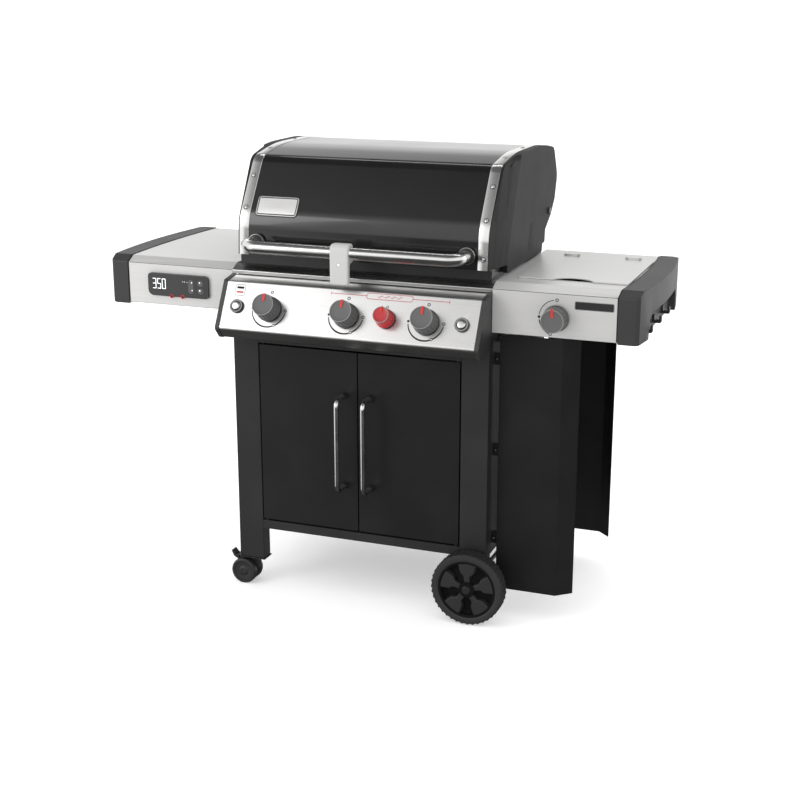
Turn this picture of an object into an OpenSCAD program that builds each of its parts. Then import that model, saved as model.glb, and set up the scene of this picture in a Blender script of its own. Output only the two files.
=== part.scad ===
// Gas barbecue grill on a cabinet cart: three burners, a sear burner and a side burner.
// X runs to the right as a cook faces the grill, Y runs to the back, Z is up from the floor.
// The outlines are drawn with Y measured from the front of the cabinet, then moved to the centre.

/* [Cart] */
// Width over the outer faces of the legs
cart_w = 709; // [640:1:860]
// Depth from the front legs' faces to the back of the rear legs
cart_d = 530; // [490:1:640]
// Width of one leg
leg_w = 72.5; // [55:0.5:90]
// Depth of one leg
leg_d = 40; // [30:1:52]
// Height of the legs' tops
leg_top = 862; // [858:1:864]
// Wall of the leg tubes
leg_wall = 2; // [1.5:0.5:3]
// Height of the cabinet floor's underside
floor_z = 170; // [150:1:185]
// Height of the front rails
rail_h = 24; // [20:1:30]
// Thickness of sheet steel panels
sheet_t = 2; // [1.5:0.5:3]

/* [Doors] */
// Height of a door
door_h = 488.5; // [420:0.5:491]
// Thickness of a door
door_t = 18; // [14:1:22]
// Gap round a door
door_gap = 3.3; // [2.5:0.1:5]
// Gap above and below a door
door_gap_z = 5; // [4:0.5:8]
// Distance of a door handle from the middle line
handle_x = 36.5; // [28:0.5:60]
// Standoff of a door handle's bar
handle_out = 58; // [40:1:62]
// Radius of a door handle's bar
handle_r = 6.5; // [5:0.5:8]
// Length of a door handle between its posts
handle_len = 246; // [180:1:300]
// Height of a door handle's middle
handle_z = 448; // [400:1:500]

/* [Wheels and casters] */
// Radius of the large wheels
wheel_r = 98; // [80:1:99]
// Width of the large wheels
wheel_w = 46; // [35:1:55]
// Radius of the axle
axle_r = 6; // [5:0.5:8]
// Radius of the caster wheels
caster_r = 36; // [31:1:38]
// Distance from a caster's swivel axis to its wheel axis
caster_trail = 26; // [20:1:30]

/* [Side tables] */
// Height of the tables' tops
table_z = 894.5; // [892:0.5:897]
// Length of a table from the cart to its end cap, at the front
table_w = 314; // [300:1:360]
// Depth of the tables
table_d = 510; // [480:1:540]
// Height of a table's front face below its top
table_drop = 124.5; // [110:0.5:140]
// Thickness of the tables' sheet
table_t = 1.5; // [1:0.5:2]
// Width of an end cap
cap_w = 59; // [50:1:70]
// Wall of an end cap
cap_wall = 4; // [3:0.5:5]

/* [Control panel] */
// Width of the sloping control panel
panel_w = 690; // [640:1:700]
// Length of the sloping face
panel_face = 131; // [120:1:134]
// Slope of the face from upright
panel_tilt = 28.5; // [24:0.5:35]
// Distance between the main burner knobs
knob_pitch = 213; // [180:1:230]
// Place of the sear knob to the right of the middle
sear_x = 106; // [100:1:112]
// Radius of a main knob's skirt
knob_r = 33; // [28:0.5:38]
// Radius of the sear knob's skirt
sear_r = 25; // [20:0.5:30]
// Radius of an igniter button's bezel
button_r = 18; // [14:0.5:20]
// Distance of an igniter button from the end of the panel
button_in = 40; // [30:1:50]

/* [Lid] */
// Width of the lid between its end castings
lid_w = 680; // [600:1:700]
// Depth of the lid
lid_d = 568; // [470:1:600]
// Height of the lid above its lower edge
lid_h = 266; // [250:1:290]
// Height of the lid's lower edge
lid_z = 921; // [919:0.5:924]
// Thickness of an end casting
lid_end_t = 21; // [16:1:28]
// Thickness of the lid's sheet
lid_t = 2; // [1.5:0.5:3]
// Width of the bright trim strips
trim_w = 27; // [20:1:34]
// Radius of the lid handle's tube
grip_r = 16; // [12:0.5:17]
// Distance between the lid handle's ends
grip_len = 574; // [520:1:590]
// Standoff of the lid handle
grip_out = 80; // [64:1:86]

/* [Firebox] */
// Wall of the cookbox
box_wall = 5; // [4:0.5:7]
// Depth of the cookbox below its rim
box_h = 172; // [150:1:178]
// Radius of a burner tube
burner_r = 12.5; // [10:0.5:14]
// Distance between the rods of the cooking grates
grate_pitch = 19; // [16:1:26]

/* [Side burner] */
// Width of the side burner's cover
cover_w = 276; // [250:1:280]
// Depth of the side burner's cover
cover_d = 320; // [280:1:330]
// Distance from the table's inner end to the cover
cover_in = 41; // [34:1:44]
// Distance from the table's front to the cover
cover_back = 88; // [80:1:96]
// Radius of the side burner's head
head_r = 45; // [35:1:55]

/* [Hidden] */
$fn = 48;

run = 0.08;       // radial clearance of a turning fit
slip = 0.5;       // gap beside a moving piece
far = 400;        // longer than any cut needs

half = cart_w / 2;
leg_in = half - leg_w;                  // inner face of a leg
leg_x = half - leg_w / 2;               // middle of a leg
back_leg = cart_d - leg_d;              // front face of a rear leg
door_z = floor_z + rail_h + door_gap_z; // lower edge of a door
door_top = door_z + door_h;

// Control panel corners, as [y, z]
panel_back = [12, table_z - 25.5];
panel_top = [-36, table_z - 33.5];
panel_foot = panel_top - panel_face * [sin(panel_tilt), cos(panel_tilt)];
panel_toe = panel_foot + [24, -27];
panel_hem = panel_toe + [20, 0];
knob_s = 69;                            // distance of the knobs from the panel's top corner
button_s = 68;
stem_r = 4;
knob_h = 46;                            // how far a knob stands out of the panel
knob_taper = 4;

// Table front, as seen from the end
face_y = 10;
bevel_y = 40;
bevel_z = 14.5;
table_in = half + 2.5;                  // inner end of a table
table_out = table_in + table_w;         // outer end at the front face
table_back = face_y + table_d;
bow = 11;                               // how far a table's end bows outwards
mid_y = face_y + table_d / 2;

// Lid outline, from its front lower corner
lid_y = 22;
lid_top = lid_z + lid_h;
lid_back = lid_y + lid_d;
pivot = [lid_back - 78, lid_z + 82];
pin_r = 5;
arm_t = 12;
lid_angle = 0;

// Cookbox
box_x = lid_w / 2 + box_wall;
box_top = lid_z - 3;
box_front = bevel_y;
box_back = pivot[0] - 7;
box_low = box_top - box_h;
burner_z = panel_foot[1] + 30;
burner_start = 0;

// Wheels
axle_z = wheel_r;
hub_r = 19;
wheel_front_y = -5 - wheel_w;
socket_t = 2.5;
plate_t = 3;
caster_top = 2 * caster_r + plate_t + 1.5; // underside of the caster sockets
left_leg_z = caster_top + socket_t;
right_leg_z = axle_z - 22;

front_y = (knob_reach() - lid_back) / 2;  // places the object's middle over the origin
function knob_reach() = -(panel_top[0] - knob_s * sin(panel_tilt)) + knob_h * cos(panel_tilt)
    + (knob_r - knob_taper) * sin(panel_tilt);

// ---- Outlines ---------------------------------------------------------------------------

function unit(v) = v / norm(v);
function turned(v) = [-v[1], v[0]];

// Points of a path whose corners [y, z, radius] are rounded
function bend(a, b, c, n = 6) =
    let(u = unit([a[0] - b[0], a[1] - b[1]]), v = unit([c[0] - b[0], c[1] - b[1]]),
        half_angle = acos(max(-1, min(1, u * v))) / 2, corner = [b[0], b[1]],
        reach = b[2] / tan(half_angle), middle = corner + unit(u + v) * b[2] / sin(half_angle),
        p = corner + u * reach, q = corner + v * reach,
        a0 = atan2(p[1] - middle[1], p[0] - middle[0]),
        a1 = atan2(q[1] - middle[1], q[0] - middle[0]),
        sweep = (a1 - a0) - 360 * round((a1 - a0) / 360))
    b[2] == 0 ? [corner]
    : [for (i = [0 : n]) middle + b[2] * [cos(a0 + sweep * i / n), sin(a0 + sweep * i / n)]];
function open_path(p) = [for (i = [0 : len(p) - 1])
    each (i == 0 || i == len(p) - 1) ? [[p[i][0], p[i][1]]] : bend(p[i - 1], p[i], p[i + 1])];
function closed_path(p) = [for (i = [0 : len(p) - 1])
    each bend(p[(i + len(p) - 1) % len(p)], p[i], p[(i + 1) % len(p)])];

// The same path moved t to its left, and the outline of a sheet of thickness t along it
function side_of(p, i) = turned(unit(p[i + 1] - p[i]));
function moved(p, t) = [for (i = [0 : len(p) - 1])
    let(a = side_of(p, max(0, i - 1)), b = side_of(p, min(len(p) - 2, i)), m = unit(a + b))
    p[i] + m * t / (m * a)];
function sheet_outline(p, t) = let(q = moved(p, t)) concat(p, [for (i = [len(q) - 1 : -1 : 0]) q[i]]);

// Solids from an outline drawn as [y, z], as [x, z] or as [x, y]
module along_x(x0, x1) translate([x0, 0, 0]) rotate([90, 0, 90]) linear_extrude(x1 - x0) children();
module along_y(y0, y1) translate([0, y1, 0]) rotate([90, 0, 0]) linear_extrude(y1 - y0) children();
module along_z(z0, z1) translate([0, 0, z0]) linear_extrude(z1 - z0) children();
module block(x, y, z) translate([x[0], y[0], z[0]]) cube([x[1] - x[0], y[1] - y[0], z[1] - z[0]]);
module rod_x(r, x0, x1, y, z) translate([x0, y, z]) rotate([0, 90, 0]) cylinder(r = r, h = x1 - x0);
module rod_y(r, y0, y1, x, z) translate([x, y0, z]) rotate([-90, 0, 0]) cylinder(r = r, h = y1 - y0);
module rod_z(r, z0, z1, x, y) translate([x, y, z0]) cylinder(r = r, h = z1 - z0);
module both_sides() { children(); mirror([1, 0, 0]) children(); }
module in_place() translate([0, front_y, 0]) children();

// Frame on the sloping panel: X to the right, Y up the slope, Z straight out of it
module on_panel(x, s) translate([x, panel_top[0] - s * sin(panel_tilt), panel_top[1] - s * cos(panel_tilt)])
    rotate([90 - panel_tilt, 0, 0]) children();

// ---- Cart -------------------------------------------------------------------------------

// A square tube, closed at its top, and at its foot unless a caster plugs it
module leg(x, y, z, foot) difference() {
    top = y < box_back - 60 ? leg_top : leg_top - 64;
    block([x, x + leg_w], [y, y + leg_d], [z, top]);
    block([x + leg_wall, x + leg_w - leg_wall], [y + leg_wall, y + leg_d - leg_wall], [z + foot, top - leg_wall]);
}

module legs() color([0.13, 0.13, 0.13]) in_place() {
    for (y = [0, back_leg]) {
        leg(-half, y, left_leg_z, -1);
        difference() {
            leg(leg_in, y, right_leg_z, leg_wall);
            rod_y(axle_r + run, y - 1, y + leg_d + 1, leg_x, axle_z);
        }
    }
}

module bottom_panel() color([0.1, 0.1, 0.1]) in_place() difference() {
    block([-half + sheet_t, half - sheet_t], [sheet_t, cart_d - sheet_t], [floor_z, floor_z + sheet_t]);
    both_sides() for (y = [-1, back_leg])
        block([leg_in, half], [y, y + leg_d + 1], [floor_z - 1, floor_z + 10]);
    block([-leg_in - 1, leg_in + 1], [-1, rail_d], [floor_z - 1, floor_z + 10]);
}

back_top = 668;
side_top = 880;
module cabinet_walls() color([0.1, 0.1, 0.1]) in_place() {
    block([-leg_in, leg_in], [cart_d - sheet_t, cart_d], [floor_z, back_top]);
    difference() {
        both_sides() block([half - sheet_t, half], [leg_d, back_leg], [floor_z, side_top]);
        rod_x(pipe_r + 1, half - 10, half + 10, pipe_y, pipe_z);
    }
}

rail_d = 25;
hinge_x = leg_in - door_gap - 8;     // a door's pivot
hinge_y = 6;
hinge_pin_r = 3;
hinge_pin_l = 10;
ledge_z = 850;
tray_z = 716;                        // underside of the grease tray's lips
tray_x = 150;                        // half the width over the grease tray's lips
module frame_rails() color([0.12, 0.12, 0.12]) in_place() {
    difference() {
        union() {
            block([-leg_in, leg_in], [0, rail_d], [floor_z, floor_z + rail_h]);
            both_sides() rod_z(hinge_pin_r, floor_z + rail_h - 1, door_z + hinge_pin_l, hinge_x, hinge_y);
        }
        block([-leg_in + 20, leg_in - 20], [sheet_t, rail_d + 1], [floor_z - 1, floor_z + rail_h - sheet_t]);
    }
    union() {
        block([-leg_in, leg_in], [0, sheet_t], [door_top + door_gap_z, door_top + door_gap_z + 40]);
        block([-leg_in, leg_in], [0, rail_d], [door_top + door_gap_z, door_top + door_gap_z + sheet_t]);
        both_sides() rod_z(hinge_pin_r, door_top - hinge_pin_l, door_top + door_gap_z + 1, hinge_x, hinge_y);
    }
    // Ledges that carry the cookbox
    both_sides() block([box_x, half - sheet_t], [leg_d, back_leg], [ledge_z, ledge_z + 12]);
    // Runners of the grease tray, hung from the cookbox
    both_sides() along_y(box_front + 40, box_back - 30) polygon(sheet_outline(
        [[tray_x + 14, box_low], [tray_x + 14, tray_z - slip], [tray_x - 8, tray_z - slip]], sheet_t));
}

shield_x = half + 15.5;
shield_w = 161;
shield_bend = [38, 33];
shield_low = 78;
shield_top = 760;
module tank_shields() color([0.12, 0.12, 0.12]) in_place() {
    union() {
        along_z(shield_low, shield_top) polygon(sheet_outline([[shield_x, leg_d + 18], [shield_x, leg_d],
            [shield_x + shield_w, leg_d], [shield_x + shield_w + shield_bend[0], leg_d + shield_bend[1]]], sheet_t));
        for (z = [200, 440, 680]) block([half, shield_x + 1], [leg_d + 4, leg_d + 18], [z, z + 30]);
    }
    union() {
        along_z(shield_low, shield_top) polygon(sheet_outline([[shield_x, cart_d - 18], [shield_x, cart_d],
            [shield_x + shield_w + 4, cart_d], [shield_x + shield_w + 38, cart_d - shield_bend[1]]], -sheet_t));
        for (z = [200, 440, 680]) block([half, shield_x + 1], [cart_d - 18, cart_d - 4], [z, z + 30]);
    }
}

hook_z = 560;
module tank_hook() color([0.55, 0.55, 0.55]) in_place() {
    difference() {
        along_y(cart_d / 2 - 30, cart_d / 2 + 30) polygon([[half, hook_z - 50], [half + 5, hook_z - 50],
            [half + 5, hook_z], [half + 42, hook_z], [half + 42, hook_z - 8], [half + 48, hook_z - 8],
            [half + 48, hook_z + 22], [half + 42, hook_z + 22], [half + 42, hook_z + 6],
            [half + 5, hook_z + 6], [half + 5, hook_z + 50], [half, hook_z + 50]]);
        for (z = [hook_z - 34, hook_z + 34]) rod_x(3.5, half - 1, half + 6, cart_d / 2, z);
    }
}

// ---- Wheels -----------------------------------------------------------------------------

module axle() color([0.5, 0.5, 0.5]) in_place() union() {
    rod_y(axle_r, wheel_front_y - 4, cart_d - wheel_front_y + 4, leg_x, axle_z);
    for (y = [wheel_front_y - 4, cart_d - wheel_front_y + 0.4])
        rod_y(axle_r + 3, y, y + 3.6, leg_x, axle_z);
}

rim_r = 74;      // inside of the rim for a wheel of the normal size
module wheel() {
    rim = wheel_r - (98 - rim_r);
    difference() {
        union() {
            rotate_extrude($fn = 72) polygon([[rim, 3], [wheel_r - 14, 0], [wheel_r - 3, 3],
                [wheel_r, 8], [wheel_r, wheel_w - 8], [wheel_r - 3, wheel_w - 3],
                [wheel_r - 14, wheel_w], [rim, wheel_w - 3]]);
            cylinder(r = hub_r, h = wheel_w);
            translate([0, 0, wheel_w / 2 - 2]) cylinder(r = rim + 2, h = 4);
            for (i = [0 : 4]) rotate(90 + 72 * i) along_z(2, wheel_w - 2)
                polygon([[8, -9], [38, -9], [44, -17], [rim + 2, -20], [rim + 2, 20], [44, 17], [38, 9], [8, 9]]);
        }
        translate([0, 0, -1]) cylinder(r = axle_r + run, h = wheel_w + 2);
        for (i = [0 : 4]) rotate(90 + 36 + 72 * i) along_z(-1, wheel_w + 1)
            polygon([[30, -9], [30, 9], [36, 13], [46, 13], [46, -13], [36, -13]]);
    }
}
module wheel_front() color([0.14, 0.14, 0.14]) in_place()
    translate([leg_x, wheel_front_y + wheel_w, axle_z]) rotate([90, 0, 0]) wheel();
module wheel_rear() color([0.14, 0.14, 0.14]) in_place()
    translate([leg_x, cart_d - wheel_front_y - wheel_w, axle_z]) rotate([-90, 0, 0]) wheel();

stem_in = 5;     // radius of a caster's stem
caster_half = 27.5;
web = 7;         // half the thickness of a caster's web
module caster_sockets() color([0.1, 0.1, 0.1]) in_place() for (y = [0, back_leg]) difference() {
    union() {
        block([-half - 3, -leg_in + 3], [y - 3, y + leg_d + 3], [caster_top, caster_top + socket_t]);
        block([-half + leg_wall, -leg_in - leg_wall], [y + leg_wall, y + leg_d - leg_wall],
            [caster_top + socket_t - 1, caster_top + socket_t + 22]);
    }
    rod_z(stem_in + run, caster_top - 1, caster_top + socket_t + 23, -leg_x, y + leg_d / 2);
}

// A caster drawn with its swivel axis on Z and its wheels trailing to -X
lever_at = [-50, 2 * caster_r - 2];
lever_r = 2.5;
module caster_fork() difference() {
    union() {
        rod_z(stem_in, caster_top - 12, caster_top + socket_t + 18, 0, 0);
        rod_z(17, caster_top - plate_t, caster_top - slip, 0, 0);
        along_y(-web, web) polygon([[10, caster_top - 1], [14, caster_top - 10], [11, caster_r + 6],
            [-caster_trail + 9, caster_r - 9], [-caster_trail - 9, caster_r - 9],
            [-caster_trail - 12, caster_r + 12], [lever_at[0] - 5, lever_at[1] - 5],
            [lever_at[0] - 5, lever_at[1] + 5], [-12, caster_top - 1]]);
    }
    rod_y(4 + run, -far, far, -caster_trail, caster_r);
    rod_y(lever_r + run, -far, far, lever_at[0], lever_at[1]);
}
// One of the two discs, from its inner face outwards
module caster_disc() rotate_extrude($fn = 64) polygon([[0, 0], [caster_r - 4, 0], [caster_r, 3.5],
    [caster_r, caster_half - web - slip - 5], [caster_r - 4, caster_half - web - slip],
    [caster_r - 9, caster_half - web - slip], [caster_r - 10, caster_half - web - 3],
    [10, caster_half - web - 3], [9, caster_half - web - 1], [0, caster_half - web - 1]]);
module caster_wheels() union() {
    translate([-caster_trail, -web - slip, caster_r]) rotate([90, 0, 0]) caster_disc();
    translate([-caster_trail, web + slip, caster_r]) rotate([-90, 0, 0]) caster_disc();
    rod_y(4, -web - slip - 1, web + slip + 1, -caster_trail, caster_r);
}
module caster_lever() union() {
    rod_y(lever_r, -web - 3, web + 3, lever_at[0], lever_at[1]);
    difference() {
        along_y(-web - 4, web + 4) polygon([lever_at + [4, -3], lever_at + [4, 4], lever_at + [-6, 7],
            lever_at + [-15, 18], lever_at + [-19, 16], lever_at + [-12, 1], lever_at + [-5, -4]]);
        along_y(-web - slip, web + slip) polygon([lever_at + [5, -6], lever_at + [5, 9], lever_at + [-6, 9],
            lever_at + [-8, 3], lever_at + [-8, -6]]);
    }
}
module at_caster(y) translate([-leg_x, y + leg_d / 2, 0]) children();

// ---- Doors ------------------------------------------------------------------------------

// The right-hand door; the left one is its mirror image
module door() difference() {
    block([door_gap / 2, leg_in - door_gap], [0, door_t], [door_z, door_top]);
    block([door_gap / 2 + 12, leg_in - door_gap - 16], [sheet_t, door_t + 1], [door_z + 12, door_top - 12]);
    for (z = [door_z - 1, door_top - hinge_pin_l - 1])
        rod_z(hinge_pin_r + run, z, z + hinge_pin_l + 2, hinge_x, hinge_y);
}
post_r = 16;     // bend radius of a door handle
module door_handle() union() {
    for (s = [0, 1]) translate([handle_x, -handle_out, handle_z]) mirror([0, 0, s]) {
        rod_y(handle_r, post_r, handle_out, 0, handle_len / 2);
        translate([0, post_r, handle_len / 2 - post_r]) rotate([90, 0, -90])
            rotate_extrude(angle = 90) translate([post_r, 0]) circle(r = handle_r);
        // Collar at the door
        rod_y(handle_r + 2.5, handle_out - 9, handle_out, 0, handle_len / 2);
    }
    rod_z(handle_r, handle_z - handle_len / 2 + post_r, handle_z + handle_len / 2 - post_r, handle_x, -handle_out);
}

// ---- Firebox ----------------------------------------------------------------------------

taper = 30;      // how far the cookbox narrows towards its bottom, front and back
module cookbox_end() along_x(box_x - box_wall, box_x) polygon([[box_front, box_top], [box_front, box_top - 60],
    [box_front + taper, box_low], [box_back - taper, box_low], [box_back, box_top - 60], [box_back, box_top]]);
module cookbox() color([0.09, 0.09, 0.09]) in_place() difference() {
    union() {
        both_sides() cookbox_end();
        along_x(-box_x + box_wall, box_x - box_wall) polygon(sheet_outline([[box_front, box_top],
            [box_front, box_top - 60], [box_front + taper, box_low], [tray_y0, box_low]], box_wall));
        along_x(-box_x + box_wall, box_x - box_wall) polygon(sheet_outline([[box_back, box_top + 12],
            [box_back, box_top - 60], [box_back - taper, box_low], [tray_y1, box_low]], -box_wall));
        both_sides() block([tray_x - 20, box_x - box_wall], [tray_y0, tray_y1], [box_low, box_low + box_wall]);
        // Lugs bolted to the front legs
        both_sides() block([box_x - 30, max(box_x, leg_in + 20)], [box_front, box_front + 14], [leg_top - 42, leg_top - 12]);
        // Ledges of the flame tamers and of the grates
        for (y = [box_front + 16, box_back - 42])
            block([-box_x + box_wall, box_x - box_wall], [y, y + 26], [bar_z - 4, bar_z]);
        block([-grate_in, grate_in], [box_front + box_wall - 1, box_front + box_wall + 10], [grate_z - 12, grate_z - 6]);
        block([-arm_x + 6, arm_x - 6], [grate_y1 - 10, box_back - box_wall + 1], [grate_z - 12, grate_z - 6]);
    }
    for (x = burner_places()) rod_y(burner_r + run, -far, box_front + taper + 40, x, burner_z);
}
tray_y0 = box_front + taper + 50;
tray_y1 = box_back - taper - 50;
function burner_places() = [-knob_pitch, 0, sear_x, knob_pitch];

arm_x = lid_w / 2 - arm_t - 3;
module hinge_arms() color([0.2, 0.2, 0.2]) in_place() both_sides() {
    difference() {
        along_x(arm_x, arm_x + arm_t) polygon([[box_back - box_wall - 34, box_top - 40],
            [box_back - box_wall, box_top - 40], [box_back - box_wall, box_top], [box_back - 22, pivot[1] - 50],
            [pivot[0] + 6, pivot[1] - 10], [pivot[0] + 11, pivot[1] + 2], [pivot[0] + 4, pivot[1] + 11],
            [pivot[0] - 8, pivot[1] + 9], [box_back - box_wall - 34, pivot[1] - 42]]);
        rod_x(pin_r, arm_x - 1, arm_x + arm_t + 1, pivot[0], pivot[1]);
    }
    union() {
        rod_x(pin_r, arm_x, lid_w / 2 + lid_end_t + 1, pivot[0], pivot[1]);
        rod_x(pin_r + 4, lid_w / 2 + lid_end_t + slip, lid_w / 2 + lid_end_t + 5, pivot[0], pivot[1]);
    }
}

module burner_tubes() color([0.62, 0.6, 0.57]) in_place() for (x = burner_places()) difference() {
    rod_y(burner_r, burner_start, box_back - taper - 40, x, burner_z);
    rod_y(burner_r - 1.5, burner_start - 1, box_back - taper - 42, x, burner_z);
    for (y = [box_front + 70 : 26 : box_back - 110]) rod_z(1.5, burner_z, burner_z + 20, x, y);
}

bar_n = 5;
bar_z = burner_z + 32;
bar_w = 34;
module flame_tamers() color([0.45, 0.44, 0.42]) in_place() for (i = [0 : bar_n - 1])
    along_y(bar_y0, bar_y1) polygon(sheet_outline([for (p = [[-bar_w, 0], [-bar_w, 10], [0, 44], [bar_w, 10], [bar_w, 0]])
        p + [(i - (bar_n - 1) / 2) * (2 * box_x - 90) / (bar_n - 0.6), bar_z]], -1.5));
bar_y0 = box_front + 34;
bar_y1 = box_back - 34;

rod_r = 4;
grate_z = box_top - 26;
grate_in = box_x - box_wall - 4;
grate_y0 = box_front + box_wall + 3;
grate_y1 = box_back - box_wall - 38;
module grate_half() {
    n = floor((grate_in - 8) / grate_pitch);
    union() {
        for (i = [0 : n]) translate([0, 0, 0])
            block([3 + i * grate_pitch, 3 + i * grate_pitch + 8], [grate_y0, grate_y1], [grate_z, grate_z + 12]);
        for (y = [grate_y0, (grate_y0 + grate_y1) / 2 - 4, grate_y1 - 8])
            block([3, 11 + n * grate_pitch], [y, y + 8], [grate_z - 6, grate_z + 8]);
    }
}
module cooking_grates() color([0.12, 0.12, 0.12]) in_place() both_sides() grate_half();

rack_z = box_top + 92;
rack_y = [box_back - 185, box_back - 60];
rack_x = lid_w / 2 - 34;
module warming_rack() color([0.7, 0.7, 0.7]) in_place() union() {
    for (y = [rack_y[0] : 25 : rack_y[1]]) rod_x(2.5, -rack_x, rack_x, y, rack_z);
    for (x = [-rack_x, 0, rack_x]) block([x - 3, x + 3], [rack_y[0] - 3, rack_y[1] + 3], [rack_z - 3, rack_z + 3]);
    for (x = [-rack_x, rack_x - 0], y = [rack_y[0] + 50, rack_y[0] + 100])
        block([x - 3, x + 3], [y - 3, y + 3], [grate_z + 12, rack_z]);
}

module grease_tray() color([0.5, 0.5, 0.5]) in_place() {
    difference() {
        union() {
            block([-tray_x + 10, tray_x - 10], [tray_y0 - 14, box_back + 6], [tray_z - 40, tray_z + 2]);
            block([-tray_x, tray_x], [tray_y0 - 14, box_back + 6], [tray_z, tray_z + 2]);
        }
        block([-tray_x + 12, tray_x - 12], [tray_y0 - 12, box_back + 4], [tray_z - 38, tray_z + 3]);
    }
    // Disposable drip pan standing in the tray
    difference() {
        block([-tray_x + 30, tray_x - 30], [tray_y0 + 40, tray_y1 - 30], [tray_z - 38, tray_z - 12]);
        block([-tray_x + 32, tray_x - 32], [tray_y0 + 42, tray_y1 - 32], [tray_z - 36, tray_z - 11]);
    }
}

// ---- Gas ---------------------------------------------------------------------------------

valve_in = 50;   // from the panel to a valve's middle
valve = [panel_top[0] - knob_s * sin(panel_tilt) + valve_in * cos(panel_tilt),
    panel_top[1] - knob_s * cos(panel_tilt) - valve_in * sin(panel_tilt)];
manifold_r = 9;
manifold_z = valve[1] - 14 - manifold_r;
pipe_r = 5;
pipe_x = leg_in - 20;
pipe_y = leg_d + 45;
pipe_z = box_low - pipe_r - 1;
inlet_r = 7.5;
inlet_l = 14;
inlet_x = half + 22;
module gas_manifold() color([0.6, 0.6, 0.62]) in_place() difference() {
    union() {
        rod_x(manifold_r, -knob_pitch - 30, pipe_x + 7, valve[0], manifold_z);
        rod_z(pipe_r, pipe_z, manifold_z, pipe_x, valve[0]);
        rod_y(pipe_r, valve[0], pipe_y + pipe_r, pipe_x, pipe_z);
        rod_x(pipe_r, pipe_x, half + 4, pipe_y, pipe_z);
        rod_x(pipe_r + 5, half + 0.4, inlet_x, pipe_y, pipe_z);
        rod_x(inlet_r, inlet_x - 1, inlet_x + inlet_l, pipe_y, pipe_z);
    }
    rod_x(3, pipe_x, inlet_x + inlet_l + 1, pipe_y, pipe_z);
}
module gas_valves() color([0.72, 0.6, 0.3]) in_place() {
    for (x = burner_places()) difference() {
        union() {
            block([x - 11, x + 11], [valve[0] - 13, valve[0] + 13], [valve[1] - 14, valve[1] + 14]);
            on_panel(x, knob_s) translate([0, 0, -valve_in + 6]) cylinder(r = stem_r, h = valve_in + 18);
            rod_y(5, valve[0] + 5, burner_start + 20, x, burner_z);
        }
        rod_y(1.2, valve[0] + 14, burner_start + 21, x, burner_z);
    }
    // Side burner's valve, behind the right table's face
    union() {
        block([side_knob_x - 11, side_knob_x + 11], [face_y + 28, face_y + 54], [side_knob_z - 14, side_knob_z + 14]);
        rod_y(stem_r, face_y - 16, face_y + 30, side_knob_x, side_knob_z);
        rod_z(5, side_knob_z + 13, bowl_z - 7, side_knob_x, face_y + 41);
        rod_y(3, face_y + 41, face_y + 70, side_knob_x, bowl_z - 13);
    }
}

// ---- Control panel -----------------------------------------------------------------------

panel_path = open_path([[panel_back[0], panel_back[1]], [panel_top[0], panel_top[1], 7],
    [panel_foot[0], panel_foot[1], 9], [panel_toe[0], panel_toe[1], 6], [panel_hem[0], panel_hem[1]]]);
hole_r = 9;
module control_panel() color([0.75, 0.74, 0.72]) in_place() difference() {
    along_x(-panel_w / 2, panel_w / 2) polygon(sheet_outline(panel_path, sheet_t));
    for (x = burner_places()) on_panel(x, knob_s) translate([0, 0, -6]) cylinder(r = hole_r, h = 12);
    for (s = [-1, 1]) on_panel(s * (panel_w / 2 - button_in), button_s) translate([0, 0, -6])
        cylinder(r = button_r - 5, h = 12);
}

end_t = half - panel_w / 2 + 2;
module panel_end_caps() color([0.12, 0.12, 0.12]) in_place() both_sides() along_x(panel_w / 2, panel_w / 2 + end_t)
    polygon(concat(moved(panel_path, -1.5), [panel_hem + [8, 0], [-4, panel_hem[1] + 26], [0, panel_hem[1] + 50],
        [0, panel_back[1] - 6], [panel_back[0], panel_back[1] - 4]]));

module top_trim() color([0.75, 0.74, 0.72]) in_place() along_x(-table_in + 0.5, table_in - 0.5)
    polygon(sheet_outline(open_path([[bevel_y - 1.5, table_z], [face_y, table_z - bevel_z, 3],
        [face_y, panel_back[1] + 1.6]]), table_t));

bezel_h = 5;
module ring(r, hole, h) difference() { cylinder(r = r, h = h); translate([0, 0, -1]) cylinder(r = hole, h = h + 2); }
module control_bezels() color([0.1, 0.1, 0.1]) in_place() {
    for (x = burner_places()) on_panel(x, knob_s) ring((x == sear_x ? sear_r : knob_r) - 3, hole_r, bezel_h);
    for (s = [-1, 1]) on_panel(s * (panel_w / 2 - button_in), button_s) ring(button_r, button_r - 6, 7);
    translate([side_knob_x, face_y, side_knob_z]) rotate([90, 0, 0]) ring(knob_r - 3, hole_r, bezel_h);
}

// A knob with its axis on Z and its back at 0; the grip bar points along +Y
module knob(r, h) difference() {
    union() {
        cylinder(r1 = r, r2 = r - 1, h = 8);
        translate([0, 0, 8]) cylinder(r1 = r - 2.5, r2 = r - knob_taper, h = h - 8);
    }
    translate([0, 0, -1]) cylinder(r = stem_r + run, h = h - 8);
    for (i = [0 : 17]) rotate(20 * i) translate([r - 0.5, 0, 12]) cylinder(r = 1.8, h = h);
}
knob_gap = bezel_h + slip;
module panel_knob(x, r, h) on_panel(x, knob_s) translate([0, 0, knob_gap]) knob(r, h - knob_gap);
module knob_left() color([0.3, 0.3, 0.3]) in_place() panel_knob(-knob_pitch, knob_r, knob_h);
module knob_middle() color([0.3, 0.3, 0.3]) in_place() panel_knob(0, knob_r, knob_h);
module knob_right() color([0.3, 0.3, 0.3]) in_place() panel_knob(knob_pitch, knob_r, knob_h);
module knob_sear() color([0.75, 0.08, 0.08]) in_place() panel_knob(sear_x, sear_r, knob_h - 4);
side_knob_x = table_in + 163;
side_knob_z = table_z - 74.5;
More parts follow.
